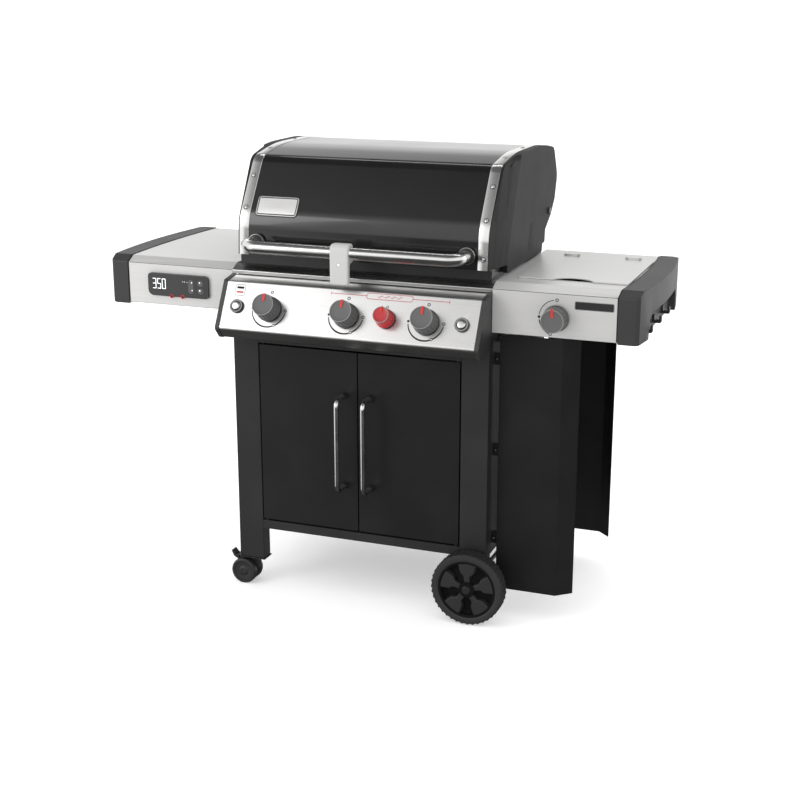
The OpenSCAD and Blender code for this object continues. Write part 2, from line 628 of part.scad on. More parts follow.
module knob_side() color([0.3, 0.3, 0.3]) in_place()
    translate([side_knob_x, face_y - knob_gap, side_knob_z]) rotate([90, 0, 0]) knob(knob_r, knob_h - knob_gap);

button_out = 11;
module igniter_button(s) on_panel(s * (panel_w / 2 - button_in), button_s) union() {
    translate([0, 0, -8]) cylinder(r = button_r - 6 - slip, h = 8 + button_out - 1.5);
    translate([0, 0, button_out - 1.5]) cylinder(r1 = button_r - 6 - slip, r2 = button_r - 8, h = 1.5);
    translate([0, 0, -9]) cylinder(r = button_r - 7, h = 2);
}

// ---- Side tables ---------------------------------------------------------------------------

table_path = open_path([[table_back, table_z - 40], [table_back, table_z, 4], [bevel_y, table_z, 4],
    [face_y, table_z - bevel_z, 3], [face_y, table_z - table_drop, 2.5], [face_y + 16, table_z - table_drop]]);

// Circle through the bowed end of a table, so much wider than it
module bow_disc(grow) {
    r = (pow(table_d / 2, 2) + bow * bow) / (2 * bow);
    translate([table_out + bow - r, mid_y]) circle(r = r + grow, $fn = 180);
}
// Circle through the outer side of an end cap
cap_bow = 19;
module cap_disc(grow) {
    r = (pow(table_d / 2, 2) + cap_bow * cap_bow) / (2 * cap_bow);
    translate([table_out + bow + cap_w - r, mid_y]) circle(r = r + grow, $fn = 180);
}
module table_body() intersection() {
    along_x(table_in, table_out + bow + 1) polygon(sheet_outline(table_path, table_t));
    along_z(0, table_z + 10) bow_disc(0);
}
module table_left() color([0.78, 0.77, 0.75]) in_place() mirror([1, 0, 0]) table_body();

cover_x0 = table_in + cover_in;
cover_y0 = face_y + cover_back;
cover_mid = [cover_x0 + cover_w / 2, cover_y0 + cover_d / 2];
mouth = 6;       // how far the cover laps over the opening
module table_right() color([0.78, 0.77, 0.75]) in_place() difference() {
    table_body();
    block([cover_x0 + mouth, cover_x0 + cover_w - mouth], [cover_y0 + mouth, cover_y0 + cover_d - mouth],
        [table_z - 10, table_z + 10]);
    rod_y(hole_r, face_y - 5, face_y + 5, side_knob_x, side_knob_z);
}

bracket_h = 30;
module table_brackets() color([0.15, 0.15, 0.15]) in_place() both_sides()
    for (y = [face_y + 42, table_back - 72]) difference() {
        block([half, table_out - 1], [y, y + 26], [table_z - table_t - bracket_h, table_z - table_t]);
        block([half - 1, table_out], [y + 2, y + 24], [table_z - table_t - bracket_h + 2, table_z - table_t - 2]);
    }

// End cap: the space between the bowed table end and the outer side
cap_top = 1.5;
module cap_plan(inset) difference() {
    intersection() {
        cap_disc(-inset);
        polygon([[0, face_y - 2 + inset], [table_out + cap_w - 16 - inset, face_y - 2 + inset],
            [table_out + cap_w + bow, face_y + 22 + inset], [table_out + cap_w + bow, table_back - 22 - inset],
            [table_out + cap_w - 20 - inset, table_back + 3 - inset], [0, table_back + 3 - inset]]);
    }
    bow_disc(inset);
}
module cap_solid(inset, drop) intersection() {
    along_z(table_z - table_drop - 4 - drop, table_z + cap_top - inset) cap_plan(inset);
    along_x(table_in, table_out + cap_w + 2 * bow) polygon([[face_y - 2, 0], [face_y - 2, table_z - bevel_z + cap_top - inset],
        [bevel_y - 2, table_z + cap_top - inset], [table_back + 3, table_z + cap_top - inset], [table_back + 3, 0]]);
}
arch = [75, 62]; // end and height of the arch over the tool hooks
arch_z = table_z - table_drop - 4;
recess = 26;     // how deep the arch goes into the cap
module arch_outline(grow) polygon([[face_y + arch[0] - grow, arch_z - 20], [face_y + arch[0] + 6 - grow, arch_z + arch[1] - 18],
    [face_y + arch[0] + 26 - grow, arch_z + arch[1] + grow], [table_back - arch[0] - 26 + grow, arch_z + arch[1] + grow],
    [table_back - arch[0] - 6 + grow, arch_z + arch[1] - 18], [table_back - arch[0] + grow, arch_z - 20]]);
module end_cap() difference() {
    union() {
        difference() {
            cap_solid(0, 0);
            cap_solid(cap_wall, 10);
        }
        intersection() {
            cap_solid(0, 0);
            along_x(table_out + bow + cap_w - recess - cap_wall, far + table_out) arch_outline(cap_wall);
        }
    }
    along_x(table_out + bow + cap_w - recess, far + table_out) arch_outline(0);
}
module table_end_caps() color([0.2, 0.2, 0.2]) in_place() both_sides() end_cap();

hook_places = [90, 205, 320];
hook_x = table_out + bow + cap_w - recess;
module tool_hooks() color([0.1, 0.1, 0.1]) in_place() both_sides() for (y = hook_places) along_y(face_y + y, face_y + y + 16)
    polygon(closed_path([[hook_x, arch_z + 34, 0], [hook_x, arch_z + 14, 0], [hook_x + 22, arch_z + 14, 3],
        [hook_x + 22, arch_z + 32, 2], [hook_x + 17, arch_z + 32, 2], [hook_x + 17, arch_z + 20, 3],
        [hook_x + 5, arch_z + 20, 2], [hook_x + 5, arch_z + 34, 0]]));

display_x = [-table_in - 249, -table_in - 69];
display_z = [table_z - 98.5, table_z - 37.5];
display_t = 9;
module display_module() color([0.2, 0.2, 0.2]) in_place() difference() {
    along_y(face_y - display_t, face_y) polygon(closed_path([[display_x[0], display_z[0], 16], [display_x[1], display_z[0], 8],
        [display_x[1], display_z[1], 12], [display_x[0], display_z[1], 10]]));
    // Sockets of the two temperature probes
    for (x = probe_x) rod_y(3, face_y - display_t - 1, face_y - 2, x, display_z[0] + 6);
}
probe_x = [display_x[0] + 70, display_x[0] + 104];
key_y = face_y - display_t;
module display_keypad() color([0.28, 0.28, 0.28]) in_place() along_y(key_y - 0.8, key_y) {
    polygon(closed_path([[display_x[1] - 58, display_z[0] + 12, 7], [display_x[1] - 43, display_z[0] + 12, 7],
        [display_x[1] - 43, display_z[1] - 12, 7], [display_x[1] - 58, display_z[1] - 12, 7]]));
    for (z = [display_z[0] + 20, display_z[1] - 20]) translate([display_x[1] - 22, z]) circle(r = 8);
}

// ---- Side burner ---------------------------------------------------------------------------

bowl_z = table_z - 42;
module side_burner_bowl() color([0.5, 0.5, 0.5]) in_place() difference() {
    block([cover_x0 + 2, cover_x0 + cover_w - 2], [cover_y0 + 2, cover_y0 + cover_d - 2], [bowl_z, table_z - table_t]);
    block([cover_x0 + 4, cover_x0 + cover_w - 4], [cover_y0 + 4, cover_y0 + cover_d - 4],
        [bowl_z + 2, table_z - table_t + 1]);
    translate([cover_mid[0], cover_mid[1], 0]) rod_z(12, bowl_z - 1, bowl_z + 3, 0, 0);
}
module side_burner() color([0.35, 0.34, 0.33]) in_place() translate([cover_mid[0], cover_mid[1], 0]) difference() {
    union() {
        rod_z(11.5, bowl_z - 24, bowl_z + 8, 0, 0);
        rod_z(head_r - 8, bowl_z + 7, bowl_z + 14, 0, 0);
        rod_z(head_r, bowl_z + 14, bowl_z + 22, 0, 0);
        rod_y(9, face_y + 62 - cover_mid[1], 0, side_knob_x - cover_mid[0], bowl_z - 13);
    }
    rod_y(7, face_y + 61 - cover_mid[1], face_y + 100 - cover_mid[1], side_knob_x - cover_mid[0], bowl_z - 13);
    for (i = [0 : 15]) rotate(22.5 * i) translate([head_r - 9, 0, bowl_z + 11]) rotate([0, 90, 0]) cylinder(r = 1.6, h = 12);
}
wire = 4;
module side_burner_grate() color([0.12, 0.12, 0.12]) in_place() union() {
    x = [cover_x0 + 16, cover_x0 + cover_w - 16];
    y = [cover_y0 + 34, cover_y0 + cover_d - 34];
    z = table_z - 10;
    for (a = [x[0], x[1] - wire]) block([a, a + wire], y, [bowl_z + 2, z]);
    for (b = [y[0], y[1] - wire]) block(x, [b, b + wire], [z - 12, z]);
    for (i = [1 : 5]) block([x[0] + i * (x[1] - x[0]) / 6 - wire / 2, x[0] + i * (x[1] - x[0]) / 6 + wire / 2],
        y, [z - 6, z]);
}

cover_t = 3;
cover_z = table_z + 0.4;
cover_pivot = [cover_y0 + cover_d + 6, cover_z + 4.2];
scoop = [103, 30];   // width and depth of the finger scoop
module side_burner_lid() color([0.8, 0.79, 0.77]) in_place() difference() {
    union() {
        block([cover_x0, cover_x0 + cover_w], [cover_y0, cover_y0 + cover_d], [cover_z, cover_z + cover_t]);
        for (x = [cover_x0 + 40, cover_x0 + cover_w - 70]) {
            rod_x(4, x, x + 30, cover_pivot[0], cover_pivot[1]);
            block([x, x + 30], [cover_y0 + cover_d - 1, cover_pivot[0]], [cover_z, cover_z + cover_t]);
        }
    }
    rod_x(2.5 + run, cover_x0, cover_x0 + cover_w, cover_pivot[0], cover_pivot[1]);
    r = (pow(scoop[0] / 2, 2) + scoop[1] * scoop[1]) / (2 * scoop[1]);
    rod_z(r, cover_z - 1, cover_z + cover_t + 1, cover_mid[0], cover_y0 + scoop[1] - r);
}

module cover_hinges() color([0.4, 0.4, 0.4]) in_place()
    for (x = [cover_x0 + 40, cover_x0 + cover_w - 70]) union() {
        rod_x(2.5, x - 6, x + 36, cover_pivot[0], cover_pivot[1]);
        for (a = [x - 6, x + 31]) block([a, a + 5], [cover_pivot[0] - 4, cover_pivot[0] + 5], [table_z, cover_pivot[1] + 4]);
    }

// ---- Lid ------------------------------------------------------------------------------------

// A corner of the lid given for a lid 568 deep and 266 high, fitted to the sizes chosen
function on_lid(y, z, r = 0) = [lid_y + (y - 22) * lid_d / 568, lid_z + (z - 921) * lid_h / 266, r];
function flat(p) = [p[0], p[1]];
lid_path = open_path([on_lid(22, 921), on_lid(28.5, 1017, 110), on_lid(124.5, 1165.5, 46), on_lid(250, 1186.5, 600),
    on_lid(455, 1186.5, 600), on_lid(552, 1170, 30), on_lid(593, 1092, 40), on_lid(572, 1030)]);
module lid_inside(grow) polygon(concat(moved(lid_path, grow), [flat(on_lid(480, 956)), flat(on_lid(477, 921))]));

module lid_shell() color([0.05, 0.05, 0.05]) in_place() union() {
    along_x(-lid_w / 2, lid_w / 2) polygon(sheet_outline(lid_path, -lid_t));
    // Stiffening flange behind the lower front edge
    block([-lid_w / 2, lid_w / 2], [lid_y + 1, lid_y + 12], [lid_z, lid_z + lid_t]);
}

lid_end_wall = 5;
face_slope = 20;
// Everything in front of an end casting's slanted face
module end_bevel(back) translate([lid_w / 2, lid_y + 10 + back, lid_z]) rotate([-face_slope, 0, 0])
    linear_extrude(1000, center = true) polygon([[-60, -60 * 4], [lid_end_t + 60, (lid_end_t + 60) * 4], [lid_end_t + 60, -400], [-60, -400]]);
module lid_end() difference() {
    union() {
        difference() {
            along_x(lid_w / 2, lid_w / 2 + lid_end_t) lid_inside(1.5);
            end_bevel(0);
            difference() {
                along_x(lid_w / 2 - 1, lid_w / 2 + lid_end_t - lid_end_wall) lid_inside(-4);
                end_bevel(lid_end_wall * 4);
            }
        }
        // Skirt outside the cookbox
        along_x(lid_w / 2 + lid_end_t - lid_end_wall, lid_w / 2 + lid_end_t) polygon([[lid_y + 96, lid_z + 1],
            [lid_y + 104, table_z + 4], [pivot[0] - 64, table_z + 8], [pivot[0] - 34, lid_z + 4],
            [pivot[0] - 34, lid_z + 30], [lid_y + 120, lid_z + 30]]);
        rod_x(13, lid_w / 2, lid_w / 2 + lid_end_t, pivot[0], pivot[1]);
    }
    rod_x(pin_r + run, lid_w / 2 - 1, lid_w / 2 + lid_end_t + 1, pivot[0], pivot[1]);
    // Upright slot in the side
    block([lid_w / 2 - 1, lid_w / 2 + lid_end_t + 1], [pivot[0] - 178, pivot[0] - 168], [lid_z + 5, lid_z + 76]);
}
module lid_ends() color([0.3, 0.3, 0.28]) in_place() both_sides() lid_end();

trim_t = 1.2;
module lid_trims() color([0.75, 0.75, 0.75]) in_place() both_sides()
    along_x(lid_w / 2 - trim_w, lid_w / 2) polygon(sheet_outline(lid_path, trim_t));

// Corners of the path nearest to the given heights or depths carry a rivet
rivet_at = [for (y = [26, 49, 94, 199, 356, 513]) flat(on_lid(y, 0))[0]];
function across(y, i = 0) = lid_path[i + 1][0] >= y || i == len(lid_path) - 2 ? i : across(y, i + 1);
module lid_rivets() color([0.8, 0.8, 0.8]) in_place() both_sides() for (y = rivet_at) {
    i = across(y);
    a = lid_path[i];
    b = lid_path[i + 1];
    n = side_of(lid_path, i);
    p = a + (b - a) * (y - a[0]) / (b[0] - a[0]);
    translate([lid_w / 2 - 11.5, p[0], p[1]]) rotate([atan2(-n[0], n[1]), 0, 0])
        translate([0, 0, trim_t + 0.08]) cylinder(r1 = 5, r2 = 3, h = 2.3);
}

grip_x = grip_len / 2;
grip_z = lid_z + 35;
grip_bend = 34;
grip_y = lid_y + 2 - grip_out;
module lid_handle() color([0.8, 0.8, 0.8]) in_place() union() {
    rod_x(grip_r, -grip_x + grip_bend, grip_x - grip_bend, grip_y, grip_z);
    both_sides() {
        translate([grip_x - grip_bend, grip_y + grip_bend, grip_z]) rotate([0, 0, -90])
            rotate_extrude(angle = 90) translate([grip_bend, 0]) circle(r = grip_r);
        rod_y(grip_r, grip_y + grip_bend, lid_y - 8, grip_x, grip_z);
    }
}
module handle_ferrules() color([0.1, 0.1, 0.1]) in_place() both_sides() difference() {
    rod_y(grip_r + 5, lid_y - 18, lid_y + 20, grip_x, grip_z);
    rod_y(grip_r, lid_y - 19, lid_y - 8, grip_x, grip_z);
    along_x(0, far) lid_inside(0);
}
light_x = [-41.5, 8];
module handle_light() color([0.75, 0.75, 0.75]) in_place() difference() {
    along_x(light_x[0], light_x[1]) polygon(closed_path([[grip_y - 21, table_z - 15, 4], [grip_y - 4, table_z - 15, 3],
        [grip_y - 4, grip_z - 27, 6], [grip_y + 20, grip_z - 20, 6], [grip_y + 20, grip_z + 24, 12],
        [grip_y - 21, grip_z + 24, 14]]));
    rod_x(grip_r + 0.05, light_x[0] - 1, light_x[1] + 1, grip_y, grip_z);
}
badge_x = [-305, -177];
module lid_badge() color([0.7, 0.7, 0.7]) in_place() intersection() {
    along_x(badge_x[0], badge_x[1]) polygon(sheet_outline(lid_path, 2));
    block([-far, 0], [0, 200], [lid_z + 100, lid_z + 150]);
}

// ---- Every piece in its place ------------------------------------------------------------------

module door_left() color([0.06, 0.06, 0.06]) in_place() mirror([1, 0, 0]) door();
module door_right() color([0.06, 0.06, 0.06]) in_place() door();
module door_handle_left() color([0.75, 0.75, 0.75]) in_place() mirror([1, 0, 0]) door_handle();
module door_handle_right() color([0.75, 0.75, 0.75]) in_place() door_handle();
module caster_fork_front() color([0.1, 0.1, 0.1]) in_place() at_caster(0) caster_fork();
module caster_fork_rear() color([0.1, 0.1, 0.1]) in_place() at_caster(back_leg) caster_fork();
module caster_wheels_front() color([0.12, 0.12, 0.12]) in_place() at_caster(0) caster_wheels();
module caster_wheels_rear() color([0.12, 0.12, 0.12]) in_place() at_caster(back_leg) caster_wheels();
module caster_lever_front() color([0.3, 0.3, 0.3]) in_place() at_caster(0) caster_lever();
module caster_lever_rear() color([0.3, 0.3, 0.3]) in_place() at_caster(back_leg) caster_lever();
module button_left() color([0.6, 0.6, 0.6]) in_place() igniter_button(-1);
module button_right() color([0.6, 0.6, 0.6]) in_place() igniter_button(1);

legs();
bottom_panel();
cabinet_walls();
frame_rails();
tank_shields();
tank_hook();
axle();
caster_sockets();
cookbox();
hinge_arms();
burner_tubes();
flame_tamers();
cooking_grates();
warming_rack();
gas_manifold();
gas_valves();
control_panel();
panel_end_caps();
top_trim();
control_bezels();
table_left();
table_right();
table_brackets();
table_end_caps();
tool_hooks();
display_module();
display_keypad();
side_burner_bowl();
side_burner();
side_burner_grate();
cover_hinges();
lid_shell();
lid_ends();
lid_trims();
lid_rivets();
lid_handle();
handle_ferrules();
handle_light();
lid_badge();
door_left();
door_right();
door_handle_left();
door_handle_right();
knob_left();
knob_middle();
knob_right();
knob_sear();
knob_side();
button_left();
button_right();
side_burner_lid();
wheel_front();
wheel_rear();
caster_fork_front();
caster_fork_rear();
caster_wheels_front();
caster_wheels_rear();
caster_lever_front();
caster_lever_rear();
grease_tray();
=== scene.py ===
from math import cos, hypot, pi, radians, sin, tau

import bmesh
import bpy
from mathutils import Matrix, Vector


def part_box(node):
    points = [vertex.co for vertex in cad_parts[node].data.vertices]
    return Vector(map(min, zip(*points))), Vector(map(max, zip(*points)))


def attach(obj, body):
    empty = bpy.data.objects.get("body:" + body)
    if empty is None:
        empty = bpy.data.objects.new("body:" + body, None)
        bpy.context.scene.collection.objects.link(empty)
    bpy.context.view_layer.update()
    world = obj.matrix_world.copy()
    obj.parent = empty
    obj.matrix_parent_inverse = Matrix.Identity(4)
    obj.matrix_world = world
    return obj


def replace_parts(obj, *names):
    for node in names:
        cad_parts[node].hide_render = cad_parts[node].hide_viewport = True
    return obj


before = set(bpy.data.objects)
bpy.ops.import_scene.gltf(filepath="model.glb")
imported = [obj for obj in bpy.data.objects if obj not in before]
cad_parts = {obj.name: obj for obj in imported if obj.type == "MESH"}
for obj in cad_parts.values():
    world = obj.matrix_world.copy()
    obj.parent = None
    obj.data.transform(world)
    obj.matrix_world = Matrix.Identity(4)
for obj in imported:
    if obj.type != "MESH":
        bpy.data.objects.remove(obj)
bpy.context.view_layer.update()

# ---- Place and camera --------------------------------------------------------------------
# Sizes below are millimetres from the middle of the cabinet's front: X to the right,
# Y to the back and Z up from the floor. The front legs' faces give that plane.
cabinet_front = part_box("legs")[0].y


def at(x, y, z):
    return Vector((x / 1000, cabinet_front + y / 1000, z / 1000))


def mm(metres):
    return 1000 * metres


def span(node):
    """Lowest and highest corner of a CAD node, in millimetres from the cabinet's front."""
    low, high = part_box(node)
    ends = [(mm(p.x), mm(p.y - cabinet_front), mm(p.z)) for p in (low, high)]
    return Vector(ends[0]), Vector(ends[1])


eye = bpy.data.cameras.new("eye")
eye.lens = 64.13
eye.sensor_width = 36
eye.clip_end = 50
camera = bpy.data.objects.new("eye", eye)
camera.location = at(1356.3, -3284.9, 1588.65)
camera.rotation_euler = (radians(90 - 16.11), 0, radians(20.66))
bpy.context.scene.collection.objects.link(camera)
bpy.context.scene.camera = camera

# ---- Studio ------------------------------------------------------------------------------
# A pale floor without edges, a strip of light overhead that draws the highlight along the
# lid's bend, a large soft light from the front left and a dim one from the right.
scene = bpy.context.scene
world = bpy.data.worlds.new("studio")
world.use_nodes = True
backdrop = world.node_tree.nodes["Background"]
backdrop.inputs["Color"].default_value = (1, 1, 1, 1)
# Reflections see a room of their own: dark below the horizon, bright just above it and dark
# again overhead, as in a studio with white walls. Everything else sees an even white.
room = world.node_tree


def room_node(kind, sources, values=(), operation=None):
    """A node of the room: links come first, then plain numbers, by the place of the input."""
    new = room.nodes.new(kind)
    if operation:
        new.operation = operation
    for place, source in sources:
        room.links.new(source, new.inputs[place])
    for place, value in values:
        new.inputs[place].default_value = value
    return new


ray = room_node("ShaderNodeLightPath", ())
way = room_node("ShaderNodeTexCoord", ()).outputs["Generated"]
parts = room_node("ShaderNodeSeparateXYZ", ((0, way),)).outputs
height = room_node("ShaderNodeMath", ((0, parts["Z"]),), ((1, 0.5), (2, 0.5)), "MULTIPLY_ADD")
# Behind the grill the bright band lies lower than in front of it
behind = room_node("ShaderNodeMath", ((0, parts["Y"]),), ((1, 0),), "MAXIMUM")
lift = room_node("ShaderNodeMath", ((0, behind.outputs[0]), (2, height.outputs[0])), ((1, 0.165),),
                 "MULTIPLY_ADD")
walls = room_node("ShaderNodeValToRGB", ((0, lift.outputs[0]),))
stops = ((0.0, 0.06), (0.493, 0.06), (0.507, 1.1), (0.80, 1.1), (0.87, 0.5), (0.93, 0.12), (1.0, 0.1))
while len(walls.color_ramp.elements) < len(stops):
    walls.color_ramp.elements.new(0.5)
for element, (place, level) in zip(walls.color_ramp.elements, stops):
    element.position, element.color = place, (level, level, level, 1)
# A tall bright window at the front left draws lines on upright chrome
window = room_node("ShaderNodeVectorMath", ((0, way),), ((1, (-0.766, -0.643, 0)),), "DOT_PRODUCT")
pane = room_node("ShaderNodeMapRange", ((0, window.outputs["Value"]),),
                 ((1, 0.86), (2, 0.93), (3, 0.0), (4, 1.2)))
brighter = room_node("ShaderNodeMath", ((0, walls.outputs["Color"]), (1, pane.outputs[0])), (), "MAXIMUM")
choice = room_node("ShaderNodeMix", (("Factor", ray.outputs["Is Glossy Ray"]),
                                     ("B", brighter.outputs[0])), (("A", 1.1),))
room.links.new(choice.outputs["Result"], backdrop.inputs["Strength"])
scene.world = world
scene.view_settings.view_transform = "Standard"

floor_mesh = bpy.data.meshes.new("floor")
floor_mesh.from_pydata([(-40, -40, 0), (40, -40, 0), (40, 40, 0), (-40, 40, 0)], [], [(0, 1, 2, 3)])
floor_plane = bpy.data.objects.new("floor", floor_mesh)
scene.collection.objects.link(floor_plane)
pale = bpy.data.materials.new("pale_floor")
pale.use_nodes = True
for socket, value in (("Base Color", (0.93, 0.93, 0.93, 1)), ("Roughness", 0.9),
                      ("Emission Color", (1, 1, 1, 1)), ("Emission Strength", 0.35)):
    pale.node_tree.nodes["Principled BSDF"].inputs[socket].default_value = value
floor_mesh.materials.append(pale)
floor_plane.visible_glossy = False


def softbox(name, place, aim, width, height, power):
    light = bpy.data.lights.new(name, "AREA")
    light.shape = "RECTANGLE"
    light.size, light.size_y, light.energy = width, height, power
    lamp = bpy.data.objects.new(name, light)
    lamp.location = place
    lamp.rotation_euler = (Vector(aim) - Vector(place)).to_track_quat("-Z", "Y").to_euler()
    scene.collection.objects.link(lamp)


softbox("overhead", (0.1, 1.2, 3.4), (0, 0.1, 0.9), 3.2, 0.3, 9)
softbox("front_left", (-2.6, -3.4, 2.6), (0, 0, 0.7), 1.6, 2.2, 30)
softbox("right_side", (3.4, 2.0, 1.9), (0.2, 0, 0.7), 1.4, 2.0, 16)

# ---- Legs, rails and panels of the cart --------------------------------------------------
# Square steel tubes and folded sheet, powder coated in satin black. The coating shows a
# fine orange peel, and the folds and tube corners are rounded.


class Wire:
    """A value that varies over a surface; arithmetic on it adds the nodes that work it out."""

    def __init__(self, finish, socket):
        self.finish, self.socket = finish, socket

    def maths(self, operation, *terms):
        return self.finish.node("ShaderNodeMath", {"operation": operation}, *terms)

    def __add__(self, other):
        return self.maths("ADD", self, other)

    def __sub__(self, other):
        return self.maths("SUBTRACT", self, other)

    def __rsub__(self, other):
        return self.maths("SUBTRACT", other, self)

    def __mul__(self, other):
        return self.maths("MULTIPLY", self, other)

    def __truediv__(self, other):
        return self.maths("DIVIDE", self, other)

    def __pow__(self, other):
        return self.maths("POWER", self, other)

    __radd__ = __add__
    __rmul__ = __mul__

    def above(self, level, softness=0.1):
        """0 below the level and 1 above it, with a soft step between."""
        return self.finish.node("ShaderNodeMapRange", {"interpolation_type": "SMOOTHSTEP"},
                                self, level - softness, level + softness, 0, 1)


class Finish:
    """A material under construction: plain numbers go on the shader, the rest comes by node()."""

    def __init__(self, name, color, roughness, **plain):
        self.material = bpy.data.materials.new(name)
        self.material.use_nodes = True
        self.tree = self.material.node_tree
        self.shader = self.tree.nodes["Principled BSDF"]
        self.feed(self.shader.inputs["Base Color"], (*color, 1))
        self.feed(self.shader.inputs["Roughness"], roughness)
        for socket, value in plain.items():
            self.shader.inputs[socket.replace("_", " ")].default_value = value
        self.material.diffuse_color = (*color, 1)

    def feed(self, socket, value):
        if isinstance(value, Wire):
            self.tree.links.new(value.socket, socket)
        else:
            socket.default_value = value

    def node(self, kind, settings, *values, **named):
        new = self.tree.nodes.new(kind)
        for key, value in settings.items():
            if key == "stops":
                ramp = new.color_ramp.elements
                while len(ramp) < len(value):
                    ramp.new(0.5)
                for stop, (place, shade) in zip(ramp, value):
                    stop.position, stop.color = place, (*shade, 1)
            else:
                setattr(new, key, value)
        for socket, value in zip([s for s in new.inputs if s.enabled], values):
            self.feed(socket, value)
        for name, value in named.items():
            self.feed(new.inputs[name], value)
        return Wire(self, next(s for s in new.outputs if s.enabled))

    def place(self, stretch=(1, 1, 1)):
        """The point on the object, stretched along the axes."""
        here = self.node("ShaderNodeTexCoord", {})
        here.socket = here.socket.node.outputs["Object"]
        return self.node("ShaderNodeVectorMath", {"operation": "MULTIPLY"}, here, stretch)

    def noise(self, scale, detail=3, stretch=(1, 1, 1)):
        return self.node("ShaderNodeTexNoise", {}, Vector=self.place(stretch), Scale=scale, Detail=detail)

    def mix(self, factor, first, second):
        return self.node("ShaderNodeMix", {"data_type": "RGBA"}, factor, first, second)

    def set(self, **inputs):
        for socket, value in inputs.items():
            self.feed(self.shader.inputs[socket.replace("_", " ")], value)
        return self

    def bump(self, height, strength, distance):
        self.set(Normal=self.node("ShaderNodeBump", {}, Strength=strength, Distance=distance, Height=height))
        return self


def shade(value):
    return (value, value, value, 1)


def powder_coat(name, tone, roughness):
    """Satin paint with orange peel, a little dust in broad patches, and an even tone."""
    coat = Finish(name, (tone, tone, tone), roughness, Specular_IOR_Level=0.3)
    dust = coat.noise(7, 4)
    coat.set(Base_Color=coat.mix(dust.above(0.6, 0.25) * 0.35, shade(tone), shade(tone * 1.5 + 0.004)),
             Roughness=roughness + 0.10 * (dust - 0.5))
    return coat.bump(coat.noise(900, 2), 0.12, 0.0004).material


leg_paint = powder_coat("leg_paint", 0.02, 0.42)
panel_paint = powder_coat("panel_paint", 0.010, 0.36)


def paint(node, material):
    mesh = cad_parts[node].data
    mesh.materials.clear()
    mesh.materials.append(material)


def soften(node, radius, segments=2, angle=32):
    """Welds a CAD node's faces on screen and rounds its edges, in millimetres."""
    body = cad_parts[node]
    weld = body.modifiers.new("weld", "WELD")
    weld.merge_threshold = 0.00002
    rounding = body.modifiers.new("rounding", "BEVEL")
    rounding.width = radius / 1000
    rounding.segments = segments
    rounding.angle_limit = radians(angle)
    rounding.harden_normals = True


for node in ("legs", "bottom_panel", "cabinet_walls", "frame_rails"):
    paint(node, leg_paint)
    soften(node, 3.5 if node == "legs" else 0.8, 3)

# ---- Doors -------------------------------------------------------------------------------
# Two flat steel doors, folded at the edges and painted like the cart. Each handle is one
# bent steel tube, polished, on black moulded standoffs.
for side in ("left", "right"):
    paint("door_" + side, panel_paint)
    soften("door_" + side, 1.2, 3)


def body_of(name, vertices, faces, body, material, slot, smooth=40):
    """A mesh piece from points in millimetres, riding on a body."""
    mesh = bpy.data.meshes.new(name)
    mesh.from_pydata([at(*p) for p in vertices], [], faces)
    mesh.validate()
    tidy = bmesh.new()
    tidy.from_mesh(mesh)
    bmesh.ops.remove_doubles(tidy, verts=tidy.verts, dist=0.000001)
    bmesh.ops.recalc_face_normals(tidy, faces=tidy.faces)
    tidy.to_mesh(mesh)
    tidy.free()
    mesh.polygons.foreach_set("use_smooth", [True] * len(mesh.polygons))
    mesh.set_sharp_from_angle(angle=radians(smooth))
    piece = bpy.data.objects.new(name, mesh)
    scene.collection.objects.link(piece)
    mesh.materials.append(material)
    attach(piece, body)
    return piece


def rounded(piece, radius, segments=3, angle=32):
    edges = piece.modifiers.new("rounding", "BEVEL")
    edges.width = radius / 1000
    edges.segments = segments
    edges.angle_limit = radians(angle)
    edges.harden_normals = True
    return piece


def skin(rings, closed=True, capped=True, start=0):
    """Faces over a row of rings of points, each with the same number of points."""
    count = len(rings[0])
    faces = []
    for i in range(len(rings) - 1):
        for j in range(count if closed else count - 1):
            k = (j + 1) % count
            a, b = start + i * count, start + (i + 1) * count
            faces.append((a + j, a + k, b + k, b + j))
    if capped:
        faces.append(tuple(start + j for j in range(count))[::-1])
        faces.append(tuple(start + (len(rings) - 1) * count + j for j in range(count)))
    return [p for ring in rings for p in ring], faces


def arc_corner(before, corner, after, radius, steps):
    """Points round one corner of a path; the radius is that of the path itself."""
    corner, to_before, to_after = Vector(corner), Vector(before), Vector(after)
    u, v = (to_before - corner).normalized(), (to_after - corner).normalized()
    opening = u.angle(v)
    if radius == 0 or opening > pi - 1e-4:
        return [corner]
    reach = radius / tan_half(opening)
    middle = corner + (u + v).normalized() * (radius / sin(opening / 2))
    first, last, sweep = corner + u * reach - middle, corner + v * reach - middle, pi - opening
    return [middle + (first * sin(sweep * (1 - i / steps)) + last * sin(sweep * i / steps)) / sin(sweep)
            for i in range(steps + 1)]


def tan_half(angle):
    return sin(angle / 2) / cos(angle / 2)


def bent(corners, steps=8, closed=False):
    """A path with rounded corners, from corners with a radius as their last number."""
    points, count = [], len(corners)
    for i, (*corner, radius) in enumerate(corners):
        if not closed and i in (0, count - 1):
            points.append(Vector(corner))
        else:
            points += arc_corner(corners[i - 1][:-1], corner, corners[(i + 1) % count][:-1], radius, steps)
    return points


def tube(path, radius, sides=24):
    """Rings of a round tube along a path that doesn't twist."""
    rings, across = [], None
    for i, point in enumerate(path):
        ahead = (path[min(i + 1, len(path) - 1)] - path[max(i - 1, 0)]).normalized()
        if across is None:
            across = ahead.orthogonal().normalized()
        across = (across - ahead * across.dot(ahead)).normalized()
        up = ahead.cross(across)
        rings.append([point + radius * (cos(tau * j / sides) * across + sin(tau * j / sides) * up)
                      for j in range(sides)])
    return rings


